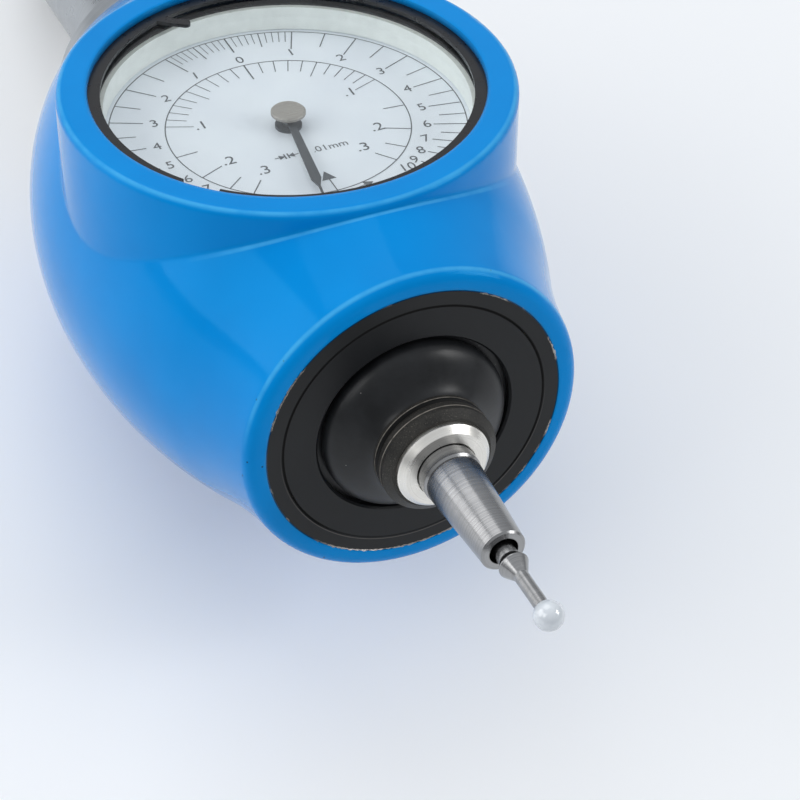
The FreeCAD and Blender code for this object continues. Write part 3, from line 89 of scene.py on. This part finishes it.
class Tree:
    """A material's node tree with short ways to add and join nodes."""

    def __init__(self, name):
        self.material = bpy.data.materials.new(name)
        self.material.use_nodes = True
        self.tree = self.material.node_tree
        self.tree.nodes.clear()
        self.out = self.tree.nodes.new("ShaderNodeOutputMaterial")

    def add(self, kind, settings=None, **inputs):
        node = self.tree.nodes.new(kind)
        for key, value in (settings or {}).items():
            setattr(node, key, value)
        for key, value in inputs.items():
            self.feed(node, key.replace("_", " "), value)
        return node

    def feed(self, node, key, value):
        socket = node.inputs[int(key)] if key.isdigit() else node.inputs[key]
        if isinstance(value, bpy.types.NodeSocket):
            self.tree.links.new(value, socket)
        elif isinstance(value, tuple) and len(value) == 3 and socket.type == "RGBA":
            socket.default_value = (*value, 1.0)
        else:
            socket.default_value = value

    def math(self, operation, first, second=0.0, clamp=False):
        node = self.tree.nodes.new("ShaderNodeMath")
        node.operation = operation
        node.use_clamp = clamp
        self.feed(node, "0", first)
        self.feed(node, "1", second)
        return node.outputs[0]

    def times(self, first, *others):
        """The product of several masks or numbers."""
        for other in others:
            first = self.math("MULTIPLY", first, other)
        return first

    def mix(self, factor, first, second):
        """A colour between two colours."""
        node = self.tree.nodes.new("ShaderNodeMix")
        node.data_type = "RGBA"
        self.feed(node, "0", factor)
        for index, value in ((6, first), (7, second)):
            self.feed(node, str(index), value)
        return node.outputs[2]

    def layered(self, colour, *layers):
        """A colour under layers, each a mask and the colour that shows where the mask is one."""
        for mask, over in layers:
            colour = self.mix(mask, colour, over)
        return colour

    def place(self):
        """Rest position in the row frame, in millimetres."""
        scaled = self.add("ShaderNodeVectorMath", {"operation": "SCALE"})
        self.feed(scaled, "0", self.add("ShaderNodeTexCoord").outputs["Object"])
        scaled.inputs["Scale"].default_value = 1 / MM
        return scaled.outputs[0]

    def split(self, place):
        """The x, y and z of a position."""
        node = self.add("ShaderNodeSeparateXYZ")
        self.feed(node, "0", place)
        return node.outputs[0], node.outputs[1], node.outputs[2]

    def combine(self, x, y, z):
        node = self.add("ShaderNodeCombineXYZ")
        for index, value in enumerate((x, y, z)):
            self.feed(node, str(index), value)
        return node.outputs[0]

    def radius(self, first, second):
        """Distance from an axis, from the two coordinates across it."""
        squares = self.math("ADD", self.times(first, first), self.times(second, second))
        return self.math("SQRT", squares)

    def noise(self, vector, scale, detail=3.0, roughness=0.5):
        node = self.add("ShaderNodeTexNoise", Vector=vector, Scale=scale, Detail=detail,
                        Roughness=roughness)
        return node.outputs[0]

    def ramp(self, value, low, high, from_value=0.0, to_value=1.0):
        node = self.add("ShaderNodeMapRange", {"clamp": True})
        for key, number in (("Value", value), ("From Min", low), ("From Max", high),
                            ("To Min", from_value), ("To Max", to_value)):
            self.feed(node, key, number)
        return node.outputs[0]

    def band(self, value, middle, half, soft):
        """One within half of the middle, fading to nothing over a soft margin."""
        away = self.math("ABSOLUTE", self.math("SUBTRACT", value, middle))
        return self.ramp(away, half, half + soft, 1.0, 0.0)

    def dots(self, place, scale, channel, above, size, soft):
        """One on small round dots, in the few cells whose random shade is above a value."""
        cells = self.add("ShaderNodeTexVoronoi", {"feature": "F1"}, Vector=place, Scale=scale)
        shades = self.add("ShaderNodeSeparateColor", Color=cells.outputs["Color"])
        picked = self.math("GREATER_THAN", shades.outputs[channel], above)
        return self.times(self.ramp(cells.outputs["Distance"], size, size + soft, 1.0, 0.0), picked)

    def bump(self, height, distance, strength=1.0, normal=None):
        node = self.add("ShaderNodeBump", Height=height, Distance=distance, Strength=strength)
        if normal is not None:
            self.feed(node, "Normal", normal)
        return node.outputs[0]

    def rounded(self, size):
        """A normal that softens sharp edges and creases."""
        return self.add("ShaderNodeBevel", {"samples": 6}, Radius=size).outputs[0]

    def surface(self, **inputs):
        shader = self.add("ShaderNodeBsdfPrincipled", **inputs)
        self.tree.links.new(shader.outputs[0], self.out.inputs[0])
        return shader


# Blue paint

PAINT_DEEP = (0.0008, 0.236, 0.655)
PAINT_BRIGHT = (0.0008, 0.256, 0.695)
# Colour of the painted highlight lines along the paint's edges.
PAINT_EDGE_HIGHLIGHT = (0.10, 0.50, 0.86)
# Colour of the painted shade inside the dial opening.
PAINT_SHADE_IN_OPENING = (0.0, 0.04, 0.12)
DUST_DARK = (0.01, 0.012, 0.02)
GAP_DARK = (0.0, 0.006, 0.02)
# Colour of the painted shade on the bore wall under the snap ring.
SEAT_SHADE = (0.003, 0.003, 0.004)
BARE_DARK = (0.25, 0.24, 0.23)
BARE_LIGHT = (0.62, 0.6, 0.57)
FRONT_DEPTH = 5.0
CHIPS_FROM_Z = -15.0
CHIPS_FULL_Z = -17.5
SEAT_Z = 25.0
SEAT_HALF = 1.85


def chipped(t, place, z):
    """One where the rim round the front ring is worn: low down and in a few spots elsewhere."""
    spots = t.ramp(t.noise(place, 0.16, 2.0), 0.57, 0.63)
    return t.math("MAXIMUM", t.ramp(z, CHIPS_FROM_Z, CHIPS_FULL_Z), spots)


def bare_metal(t, place, z, axis_r, at_face):
    """Bare metal on the worn part of the machined edge round the front ring."""
    wobble = t.times(t.math("SUBTRACT", t.noise(place, 1.3, 4.0), 0.55), 0.9)
    worn_r = t.math("ADD", axis_r, wobble)
    edge = t.ramp(worn_r, PAINT_EDGE_R - 0.02, PAINT_EDGE_R + 0.06, 1.0, 0.0)
    return t.times(edge, at_face, chipped(t, place, z))


def thin_on_rim(t, y, z, axis_r):
    """Painted highlight: paler paint along the front rim's edge, stronger higher up."""
    rim_highlight = t.times(t.band(y, FACE_Y + 0.95, 0.12, 0.3), t.math("GREATER_THAN", axis_r, RIM_CREST_R))
    return t.times(rim_highlight, t.ramp(z, 2.0, 12.0, 0.0, 0.55))


def thin_on_boss(t, y, z, dial_r):
    """Painted highlight: paler paint on the boss's upper edge and along its foot on the neck, towards the
    front.
    """
    top = t.times(t.band(dial_r, BOSS_R - 0.5, 0.1, 0.3), t.math("GREATER_THAN", z, BOSS_TOP - 0.5))
    beside = t.math("GREATER_THAN", dial_r, BOSS_R + 0.05)
    foot = t.times(t.band(dial_r, BOSS_R + 0.35, 0.12, 0.2), beside)
    foot = t.times(foot, t.ramp(y, DIAL_Y - 22.0, DIAL_Y - 28.0))
    return t.times(t.math("MAXIMUM", top, foot), 0.5)


def thin_edges(t, place, y, z, axis_r, dial_r):
    """All the painted highlight lines, uneven along their length."""
    edges = t.math("MAXIMUM", thin_on_rim(t, y, z, axis_r), thin_on_boss(t, y, z, dial_r))
    return t.times(edges, t.ramp(t.noise(place, 0.3, 3.0), 0.3, 0.6, 0.55, 1.0))


def paint():
    """Sprayed gloss blue: orange peel, dust, painted highlight lines on edges, painted shade in the
    opening and under the snap ring, and bare metal at a machined edge.
    """
    t = Tree("blue_paint_look")
    place = t.place()
    x, y, z = t.split(place)
    axis_r = t.radius(x, z)
    dial_r = t.radius(x, t.math("ADD", y, -DIAL_Y))
    at_face = t.math("LESS_THAN", y, FACE_Y + FRONT_DEPTH)
    near_front = t.ramp(y, FACE_Y + FRONT_DEPTH, FACE_Y + 1.5)
    dust = t.times(t.dots(place, 0.55, 0, 0.72, 0.05, 0.04), near_front)
    bare = bare_metal(t, place, z, axis_r, at_face)
    gap = t.times(t.band(axis_r, PAINT_EDGE_R, 0.06, 0.12), at_face, 0.85)
    high_up = t.math("GREATER_THAN", z, 10.0)
    # Painted shade: the paint on the wall of the dial opening is darkened.
    shade_in_opening = t.times(t.ramp(dial_r, OPENING_R + 0.12, OPENING_R + 0.2, 1.0, 0.0), high_up, 0.35)
    # Painted shade: the bore wall under the snap ring is made nearly black.
    seat_shade = t.ramp(dial_r, GROOVE_R, GROOVE_R + 0.1, 1.0, 0.0)
    seat_shade = t.times(seat_shade, t.band(z, SEAT_Z, SEAT_HALF, 0.05), 0.97)

    metal = t.mix(t.noise(place, 9.0, 4.0, 0.7), BARE_DARK, BARE_LIGHT)
    # Painted highlight: paler lines along the front rim's and the boss's edges.
    edge_highlight = thin_edges(t, place, y, z, axis_r, dial_r)
    colour = t.mix(t.ramp(t.noise(place, 0.09, 2.0), 0.3, 0.7), PAINT_DEEP, PAINT_BRIGHT)
    colour = t.layered(colour, (dust, DUST_DARK), (edge_highlight, PAINT_EDGE_HIGHLIGHT), (gap, GAP_DARK), (bare, metal),
                       (shade_in_opening, PAINT_SHADE_IN_OPENING), (seat_shade, SEAT_SHADE))

    rough = t.ramp(t.noise(place, 0.35, 3.0), 0.3, 0.7, 0.07, 0.12)
    rough = t.math("ADD", rough, t.times(bare, 0.15))
    peel = t.noise(place, 0.55, 2.0, 0.4)
    fine = t.noise(place, 2.6, 2.0, 0.5)
    height = t.math("ADD", t.times(peel, 0.8), t.times(fine, 0.12))
    height = t.math("SUBTRACT", height, t.times(dust, 0.6))
    t.surface(Base_Color=colour, Roughness=rough, Metallic=t.times(bare, 0.9),
              IOR=1.34, Specular_IOR_Level=0.4, Specular_Tint=(0.12, 0.75, 1.0),
              Normal=t.bump(height, 0.00002, 0.5, t.rounded(0.0009)))
    return t.material


# Metals

def turned_metal(name, dark, light, rough, lines=3.0, metallic=1.0, specks=0.0):
    """Metal with fine turning marks about the tool axis, blotchy roughness and optional specks."""
    t = Tree(name)
    place = t.place()
    x, y, z = t.split(place)
    turned = t.combine(t.times(t.radius(x, z), lines), t.times(y, lines), 0.0)
    marks = t.noise(turned, 1.6, 5.0, 0.6)
    cloud = t.noise(place, 0.5, 4.0, 0.6)
    colour = t.mix(t.ramp(marks, 0.3, 0.7), dark, light)
    if specks:
        grain = t.noise(place, 7.0, 5.0, 0.75)
        bright = tuple(min(1.0, 3.2 * c) for c in light)
        deep = tuple(0.3 * c for c in dark)
        colour = t.layered(colour, (t.times(t.ramp(grain, 0.56, 0.68), specks), bright),
                           (t.times(t.ramp(grain, 0.44, 0.34), specks), deep))
    blotches = t.ramp(cloud, 0.3, 0.7, rough * 0.8, rough * 1.25)
    height = t.math("ADD", marks, t.times(t.noise(place, 5.0, 3.0), 0.35))
    t.surface(Base_Color=colour, Roughness=t.math("ADD", blotches, t.times(marks, 0.05)),
              Metallic=metallic, Normal=t.bump(height, 0.00001, 0.25))
    return t.material


RING_DARK = (0.0058, 0.0066, 0.0080)
RING_LIGHT = (0.0088, 0.0098, 0.0114)
RING_OUTER = (0.0105, 0.0112, 0.0122)
RING_DUST = (0.25, 0.24, 0.23)
RING_WORN = (0.33, 0.30, 0.26)
RING_JOINT = (0.0015, 0.0015, 0.0015)
# Colour of the painted highlight on the front ring's inner edge.
RING_EDGE_HIGHLIGHT = (0.12, 0.11, 0.10)


def black_steel():
    """Blackened satin rings with turning marks, pale dust, a dark joint, a worn rim, and a painted
    highlight along the front ring's inner edge.
    """
    t = Tree("black_steel_look")
    place = t.place()
    x, y, z = t.split(place)
    axis_r = t.radius(x, z)
    at_face = t.math("LESS_THAN", y, FACE_Y + 1.0)
    marks = t.noise(t.combine(t.times(axis_r, 3.5), 0.0, t.times(y, 2.0)), 1.4, 4.0, 0.55)
    cloud = t.noise(place, 0.16, 3.0)
    outer = t.times(t.math("GREATER_THAN", axis_r, RING_JOINT_R + 0.02), 0.6)
    dust = t.times(t.dots(place, 0.9, 1, 0.93, 0.05, 0.03), 0.6)
    wobble = t.times(t.math("SUBTRACT", t.noise(place, 2.0, 4.0, 0.7), 0.5), 0.5)
    rim = t.ramp(t.math("ADD", axis_r, wobble), RING_EDGE_R - 0.04, RING_EDGE_R + 0.04)
    rim = t.times(rim, at_face, chipped(t, place, z))
    joint = t.times(t.band(axis_r, RING_JOINT_R, 0.16, 0.06), at_face, t.ramp(z, -16.5, -12.5, 0.3, 1.0))
    # Painted highlight: a pale line along the front ring's inner edge, stronger towards the bottom.
    edge = t.times(t.band(axis_r, RING_JOINT_R + 0.3, 0.03, 0.06), at_face)
    edge = t.times(edge, t.ramp(z, 2.0, -16.0, 0.0, 0.7))

    colour = t.mix(t.ramp(cloud, 0.3, 0.7), RING_DARK, RING_LIGHT)
    colour = t.layered(colour, (outer, RING_OUTER), (dust, RING_DUST), (rim, RING_WORN),
                       (joint, RING_JOINT), (edge, RING_EDGE_HIGHLIGHT))

    rough = t.math("ADD", t.ramp(cloud, 0.3, 0.7, 0.34, 0.44), t.times(joint, 0.5))
    height = t.math("ADD", marks, t.times(t.noise(place, 3.5, 3.0), 0.6))
    t.surface(Base_Color=colour, Roughness=rough, Metallic=t.times(rim, 0.8),
              Specular_IOR_Level=0.27, Normal=t.bump(height, 0.00002, 0.35))
    return t.material


SINTER_DARK = (0.024, 0.023, 0.021)
SINTER_LIGHT = (0.038, 0.036, 0.032)
SINTER_PALE_GRAIN = (0.20, 0.18, 0.15)
SINTER_PORES = (0.006, 0.006, 0.006)
SINTER_JOINT = (0.002, 0.002, 0.002)
SINTER_WORN = (0.34, 0.31, 0.27)


def sintered():
    """Sintered washers: speckled dark grain, a dark joint and pale worn rims."""
    t = Tree("sintered_look")
    place = t.place()
    x, y, z = t.split(place)
    cloud = t.noise(place, 0.6, 3.0)
    grain = t.noise(place, 5.5, 4.0, 0.7)
    pale_grain = t.times(t.ramp(grain, 0.60, 0.68), 0.6)
    dark_grain = t.times(t.ramp(grain, 0.43, 0.36), 0.7)
    outer = t.math("GREATER_THAN", t.radius(x, z), WASHER_R - 0.3)
    joint = t.times(t.band(y, WASHER_JOINT_Y - 0.3, 0.2, 0.1), outer)
    rear_rim = t.band(y, WASHER_JOINT_Y + 0.06, 0.04, 0.06)
    front_rim = t.band(y, WASHER_EDGE_Y, 0.04, 0.07)
    worn = t.times(t.math("ADD", rear_rim, front_rim, True), outer)
    worn = t.times(worn, t.ramp(t.noise(place, 0.9, 3.0), 0.3, 0.55, 0.25, 1.0))

    colour = t.mix(t.ramp(cloud, 0.3, 0.7), SINTER_DARK, SINTER_LIGHT)
    colour = t.layered(colour, (pale_grain, SINTER_PALE_GRAIN), (dark_grain, SINTER_PORES),
                       (joint, SINTER_JOINT), (worn, SINTER_WORN))

    t.surface(Base_Color=colour, Roughness=t.ramp(cloud, 0.3, 0.7, 0.42, 0.58), Metallic=0.35,
              Specular_IOR_Level=0.45, Normal=t.bump(grain, 0.00004, 0.6))
    return t.material


# Rubber, enamel, glass and ceramic

RUBBER_DUST = (0.28, 0.27, 0.26)


def rubber(name, base):
    """Moulded rubber: soft sheen, faint mould rings, bloom and pale dust."""
    t = Tree(name)
    place = t.place()
    x, y, z = t.split(place)
    cloud = t.noise(place, 0.22, 4.0, 0.6)
    dark = (base, base * 1.07, base * 1.2)
    bloom = (base * 1.9, base * 2.05, base * 2.3)
    dust = t.times(t.dots(place, 1.1, 1, 0.93, 0.06, 0.04), 0.7)
    colour = t.layered(t.mix(t.ramp(cloud, 0.35, 0.7), dark, bloom), (dust, RUBBER_DUST))
    rings = t.noise(t.combine(t.times(t.radius(x, z), 1.6), t.times(y, 1.2), 0.0), 1.0, 3.0)
    height = t.math("ADD", t.times(rings, 0.5), t.times(t.noise(place, 2.4, 4.0), 0.5))
    t.surface(Base_Color=colour, Roughness=t.ramp(cloud, 0.3, 0.7, 0.28, 0.4),
              Specular_IOR_Level=0.3, Normal=t.bump(height, 0.00003, 0.4))
    return t.material


def dial_paint():
    """Matt white enamel with a very faint tooth."""
    t = Tree("dial_white_look")
    place = t.place()
    cloud = t.ramp(t.noise(place, 0.08, 3.0), 0.35, 0.65)
    t.surface(Base_Color=t.mix(cloud, (0.76, 0.80, 0.87), (0.81, 0.85, 0.91)), Roughness=0.5,
              Specular_IOR_Level=0.35, Normal=t.bump(t.noise(place, 6.0, 3.0), 0.00001, 0.25))
    return t.material


def plain(name, colour, rough, metallic=0.0, scale=2.0, spread=0.15):
    """A simple finish with a little cloud in its colour and its surface."""
    t = Tree(name)
    place = t.place()
    cloud = t.noise(place, scale * 0.3, 4.0)
    low = tuple(c * (1.0 - spread) for c in colour)
    high = tuple(min(1.0, c * (1.0 + spread)) for c in colour)
    t.surface(Base_Color=t.mix(t.ramp(cloud, 0.3, 0.7), low, high),
              Roughness=t.ramp(cloud, 0.3, 0.7, rough * 0.85, rough * 1.15), Metallic=metallic,
              Normal=t.bump(t.noise(place, scale, 4.0), 0.00002, 0.2))
    return t.material


def glass():
    """Clear crystal: see-through, with smudged reflections and a faint green tint."""
    t = Tree("crystal_look")
    place = t.place()
    clear = t.add("ShaderNodeBsdfTransparent", Color=(0.985, 0.995, 0.99))
    gloss = t.add("ShaderNodeBsdfGlossy", Color=(1.0, 1.0, 1.0),
                  Roughness=t.ramp(t.noise(place, 0.15, 3.0), 0.35, 0.7, 0.015, 0.05))
    blend = t.add("ShaderNodeMixShader")
    smudge = t.ramp(t.noise(place, 0.12, 4.0), 0.35, 0.7, 0.04, 0.065)
    for key, value in (("0", smudge), ("1", clear.outputs[0]), ("2", gloss.outputs[0])):
        t.feed(blend, key, value)
    t.tree.links.new(blend.outputs[0], t.out.inputs[0])
    return t.material


def ceramic():
    """Polished white ceramic, slightly milky."""
    t = Tree("ceramic_look")
    place = t.place()
    cloud = t.noise(place, 0.8, 3.0)
    t.surface(Base_Color=t.mix(cloud, (0.64, 0.68, 0.72), (0.70, 0.74, 0.78)), Roughness=0.05, IOR=2.1,
              Subsurface_Weight=0.3, Subsurface_Radius=(0.001, 0.001, 0.001), Subsurface_Scale=0.8,
              Normal=t.bump(t.noise(place, 3.0, 2.0), 0.000004, 0.2))
    return t.material


LOOKS = {
    "blue_paint": paint(),
    "black_steel": black_steel(),
    "boot_rubber": rubber("boot_rubber_look", 0.0085),
    "seal_rubber": rubber("seal_rubber_look", 0.02),
    "ground_steel": turned_metal("ground_steel_look", (0.36, 0.38, 0.40), (0.48, 0.50, 0.52), 0.28),
    "screw_steel": turned_metal("screw_steel_look", (0.02, 0.02, 0.022), (0.05, 0.05, 0.052), 0.35,
                                metallic=0.6),
    "sintered_steel": sintered(),
    "nickel_plate": turned_metal("nickel_look", (0.70, 0.68, 0.63), (0.86, 0.84, 0.80), 0.27,
                                 lines=4.0, specks=0.12),
    "polished_steel": turned_metal("polished_steel_look", (0.25, 0.25, 0.252), (0.385, 0.385, 0.388), 0.2,
                                   lines=4.0),
    "white_ceramic": ceramic(),
    "spring_steel": plain("spring_steel_look", (0.3, 0.3, 0.32), 0.3, 1.0),
    "bearing_bronze": plain("bearing_bronze_look", (0.55, 0.36, 0.18), 0.35, 1.0),
    "train_brass": plain("train_brass_look", (0.72, 0.55, 0.26), 0.3, 1.0),
    "dial_white": dial_paint(),
    "spacer_white": plain("spacer_white_look", (0.90, 0.93, 0.90), 0.35, spread=0.04),
    "pointer_grey": plain("pointer_grey_look", (0.045, 0.052, 0.062), 0.42, scale=4.0),
    "hub_metal": turned_metal("hub_metal_look", (0.28, 0.26, 0.24), (0.42, 0.39, 0.36), 0.5,
                              metallic=0.4, specks=0.35),
    "snap_black": plain("snap_black_look", (0.008, 0.008, 0.009), 0.3, spread=0.3),
    "crystal_glass": glass(),
}
for entry in SUBPARTS:
    mesh = nodes[entry["node"]].data
    mesh.materials.clear()
    mesh.materials.append(LOOKS[entry["material_slot"]])


# Pieces that shorten as the probe is pressed in


def shortening(node):
    """A copy of the node that stands for it, put on the housing's body, with the node itself hidden."""
    made = bpy.data.objects.new(node + "_flexing", nodes[node].data.copy())
    bpy.context.scene.collection.objects.link(made)
    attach(made, "housing")
    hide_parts(node)
    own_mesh(made)


for joint in JOINTS:
    for flexing in joint.get("deforming_nodes", []):
        if flexing["mode"] == "scale_y":
            shortening(flexing["node"])


# Printed marks on the dial

INK_HEIGHT = 0.03
STROKE_GAIN = 1.35
FONT_GAIN = 1.42
OUTER_R = 25.07
INNER_R = 17.17
CIRCLE_LINE = 0.16
FIGURE = 1.75
FIGURE_R = {-1: 18.75, 1: 19.35}
TENTH_FIGURE = 1.95
TENTHS = (
    (-11.2, 4.8, ".1"), (-10.8, -4.9, ".2"), (-7.2, -8.9, ".3"),
    (11.3, 4.7, ".1"), (11.3, -5.05, ".2"), (7.5, -8.9, ".3"),
)
SIDES = (-1, 1)


def around(angle, radius):
    """A place at a clockwise angle from the top."""
    turn = math.radians(angle)
    return radius * math.sin(turn), radius * math.cos(turn)


def outer_angle(step):
    """Clockwise angle of a step on the outer scale, which closes up towards its end."""
    return 23.3 * step / math.sqrt(1 + (step / 7.92) ** 2)


def inner_angle(step):
    """Clockwise angle of a hundredth on the inner scale."""
    return 7.3 * step / math.sqrt(1 + step ** 2 / 656.0)


class Print:
    """Flat marks gathered into one mesh, in millimetres from the dial's middle."""

    def __init__(self):
        self.points = []
        self.faces = []

    def polygon(self, corners):
        first = len(self.points)
        self.points += corners
        self.faces.append(tuple(range(first, first + len(corners))))

    def stroke(self, start, end, width):
        a, b = Vector(start), Vector(end)
        direction = (b - a).normalized()
        side = Vector((-direction.y, direction.x)) * width * STROKE_GAIN / 2
        self.polygon([tuple(a - side), tuple(b - side), tuple(b + side), tuple(a + side)])

    def arc(self, radius, width, first=0.0, last=360.0, steps=240):
        """A circle or part of one between two clockwise angles."""
        for index in range(steps):
            near = first + (last - first) * index / steps
            far = first + (last - first) * (index + 1) / steps
            self.polygon([around(near, radius - width / 2), around(near, radius + width / 2),
                          around(far, radius + width / 2), around(far, radius - width / 2)])

    def tick(self, angle, inner, outer, width):
        self.stroke(around(angle, inner), around(angle, outer), width)

    def word(self, text, x, y, height):
        """Text centred at a place, upright, with the given figure height."""
        curve = bpy.data.curves.new("word", "FONT")
        curve.body = text
        curve.align_x = "CENTER"
        curve.align_y = "CENTER"
        curve.size = height * FONT_GAIN
        curve.resolution_u = 3
        shown = bpy.data.objects.new("word", curve)
        bpy.context.scene.collection.objects.link(shown)
        flat = shown.to_mesh()
        first = len(self.points)
        self.points += [(x + v.co.x, y + v.co.y) for v in flat.vertices]
        self.faces += [tuple(first + i for i in p.vertices) for p in flat.polygons]
        shown.to_mesh_clear()
        bpy.data.objects.remove(shown)
        bpy.data.curves.remove(curve)

    def make(self, name, level):
        mesh = bpy.data.meshes.new(name)
        corners = [(x * MM, (y + DIAL_Y) * MM, level * MM) for x, y in self.points]
        mesh.from_pydata(corners, [], self.faces)
        mesh.update()
        made = bpy.data.objects.new(name, mesh)
        bpy.context.scene.collection.objects.link(made)
        return made


def circles(marks):
    """The two scale circles and their marks at zero."""
    marks.arc(OUTER_R, CIRCLE_LINE)
    marks.arc(INNER_R, CIRCLE_LINE)
    marks.tick(0.0, 21.0, OUTER_R, CIRCLE_LINE)
    marks.tick(0.0, 13.2, INNER_R, CIRCLE_LINE)


def outer_ticks(marks, side):
    """Whole steps, half steps, and the tenths of the first step."""
    for number in range(1, 11):
        marks.tick(side * outer_angle(number), 20.3, OUTER_R, 0.13)
        marks.tick(side * outer_angle(number - 0.5), 21.3, OUTER_R, 0.12)
    for tenth in range(1, 10):
        if tenth != 5:
            marks.tick(side * outer_angle(tenth / 10), 22.3, OUTER_R, 0.08)


def inner_ticks(marks, side):
    """Every hundredth up to ten, then every fifth one."""
    for fine in range(1, 11):
        inner = 13.2 if fine in (5, 10) else 14.3
        marks.tick(side * inner_angle(fine), inner, INNER_R, 0.1)
    for step, inner in ((15, 14.0), (20, 13.4), (25, 14.1), (30, 13.8)):
        marks.tick(side * inner_angle(step), inner, INNER_R, 0.13)


def outer_figures(marks, side):
    for number in range(1, 11):
        x, y = around(side * outer_angle(number), FIGURE_R[side])
        marks.word(str(number), x, y, FIGURE)


def unit_sign(marks):
    """The scale's unit, and the two arrowheads beside it that meet at their bars."""
    marks.word(".01mm", 3.4, -6.95, 1.35)
    for side in SIDES:
        tip = -3.05 + side * 0.25
        root = tip + side * 0.85
        marks.polygon([(tip, -6.9), (root, -6.35), (root, -7.45)])
        marks.stroke((tip, -6.3), (tip, -7.5), 0.16)
        marks.stroke((root, -6.9), (tip + side * 1.5, -6.9), 0.13)


def rest_sign(marks):
    """The triangle where the pointer rests, its line, and the arc with two arrowheads below."""
    marks.polygon([(0.2, -12.3), (-0.85, -14.35), (1.25, -14.35)])
    marks.stroke((0.2, -14.3), (0.2, -17.9), 0.12)
    marks.arc(17.85, 0.12, 166.5, 190.5, 24)
    for angle, base in ((162.2, 166.5), (194.8, 190.5)):
        marks.polygon([around(angle, 17.95), around(base, 17.05), around(base, 18.75)])


def dial_print():
    marks = Print()
    circles(marks)
    for side in SIDES:
        outer_ticks(marks, side)
        inner_ticks(marks, side)
        outer_figures(marks, side)
    marks.word("0", 0.0, 18.7, FIGURE)
    for x, y, text in TENTHS:
        marks.word(text, x, y, TENTH_FIGURE)
    unit_sign(marks)
    rest_sign(marks)
    return marks.make("dial_print", DIAL_TOP + INK_HEIGHT)


printed = dial_print()
printed.data.materials.append(plain("print_ink_look", (0.095, 0.105, 0.12), 0.6, spread=0.25))
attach(printed, "housing")


# Stage: the floor the tool lies on, soft boxes, sky and camera

FLOOR_HALF = 3.0
BELLY_R = 34.4
BELLY_Y = -47.5
SHANK_R = 10.0
SHANK_REACH = 98.0
FLOOR_R = 34.5
FLOOR_GAP = 0.3
FLOOR_GLOW = 0.12

MIDDLE = (0.0, -0.06, 0.0)
SOFT_BOXES = (
    ("left", (-0.74, 0.14, 0.42), 0.75, 0.6, 2.6),
    ("camera_left", (-0.55, -0.36, 0.42), 0.22, 0.35, 0.5),
    ("camera_right", (0.55, -0.42, 0.36), 0.25, 0.3, 1.3),
    ("top", (-0.1, 0.3, 0.9), 0.7, 0.7, 1.6),
)

SKY_COLOUR = (0.93, 0.96, 1.0, 1.0)
SKY_LOW, SKY_HIGH = -0.1, 0.9
SKY_DIM, SKY_BRIGHT = 0.33, 0.75

CAMERA_PLACE = (-0.119225, -0.354346, 0.233629)
CAMERA_TURN = (0.89193989, -0.01101002, -0.41629607)
CAMERA_LENS = 124.57
SENSOR_WIDTH = 36.0


def floor_look():
    """Pale board with a little cloud, a shade brighter where it is seen or mirrored."""
    t = Tree("floor_look")
    cloud = t.noise(t.add("ShaderNodeTexCoord").outputs["Object"], 2.0, 2.0)
    colour = t.mix(t.ramp(cloud, 0.3, 0.7), (0.78, 0.795, 0.82), (0.81, 0.825, 0.85))
    path = t.add("ShaderNodeLightPath")
    seen = path.outputs["Is Camera Ray"]
    for kind in ("Is Glossy Ray", "Is Transmission Ray"):
        seen = t.math("ADD", seen, path.outputs[kind], True)
    t.surface(Base_Color=colour, Roughness=0.32, Specular_IOR_Level=0.35,
              Emission_Color=(1.0, 0.97, 0.86), Emission_Strength=t.times(seen, FLOOR_GLOW))
    return t.material


def floor():
    """The floor, tilted to touch both the belly and the shank's end."""
    mesh = bpy.data.meshes.new("floor")
    corners = [(x * FLOOR_HALF, y * FLOOR_HALF, 0) for x, y in ((-1, -1), (1, -1), (1, 1), (-1, 1))]
    mesh.from_pydata(corners, [], [(0, 1, 2, 3)])
    mesh.materials.append(floor_look())
    made = bpy.data.objects.new("floor", mesh)
    bpy.context.scene.collection.objects.link(made)
    slope = math.asin((BELLY_R - SHANK_R) / SHANK_REACH)
    made.rotation_euler = (slope, 0, 0)
    made.location = (0, (BELLY_Y + FLOOR_R * math.sin(slope)) * MM,
                     -(FLOOR_R * math.cos(slope) + FLOOR_GAP) * MM)
    return made


def soft_box(name, place, width, height, power):
    """A rectangular lamp that faces the tool's middle."""
    light = bpy.data.lights.new(name, "AREA")
    light.shape = "RECTANGLE"
    light.size = width
    light.size_y = height
    light.energy = power
    made = bpy.data.objects.new(name, light)
    made.location = place
    made.rotation_euler = (Vector(MIDDLE) - Vector(place)).to_track_quat("-Z", "Y").to_euler()
    bpy.context.scene.collection.objects.link(made)


def sky():
    """An even pale sky, brighter towards the top."""
    world = bpy.data.worlds.new("studio")
    bpy.context.scene.world = world
    world.use_nodes = True
    tree = world.node_tree
    back = tree.nodes["Background"]
    coords = tree.nodes.new("ShaderNodeTexCoord")
    split = tree.nodes.new("ShaderNodeSeparateXYZ")
    ramp = tree.nodes.new("ShaderNodeMapRange")
    for key, number in (("From Min", SKY_LOW), ("From Max", SKY_HIGH),
                        ("To Min", SKY_DIM), ("To Max", SKY_BRIGHT)):
        ramp.inputs[key].default_value = number
    tree.links.new(coords.outputs["Generated"], split.inputs[0])
    tree.links.new(split.outputs[2], ramp.inputs["Value"])
    tree.links.new(ramp.outputs[0], back.inputs["Strength"])
    back.inputs["Color"].default_value = SKY_COLOUR


def camera():
    """The camera at the photograph's viewing angle."""
    lens = bpy.data.cameras.new("camera")
    lens.sensor_width = SENSOR_WIDTH
    lens.lens = CAMERA_LENS
    lens.clip_start = 0.01
    made = bpy.data.objects.new("camera", lens)
    made.location = CAMERA_PLACE
    made.rotation_euler = CAMERA_TURN
    bpy.context.scene.collection.objects.link(made)
    return made


floor()
for box in SOFT_BOXES:
    soft_box(*box)
sky()
bpy.context.scene.camera = camera()
bpy.context.scene.view_settings.view_transform = "Standard"
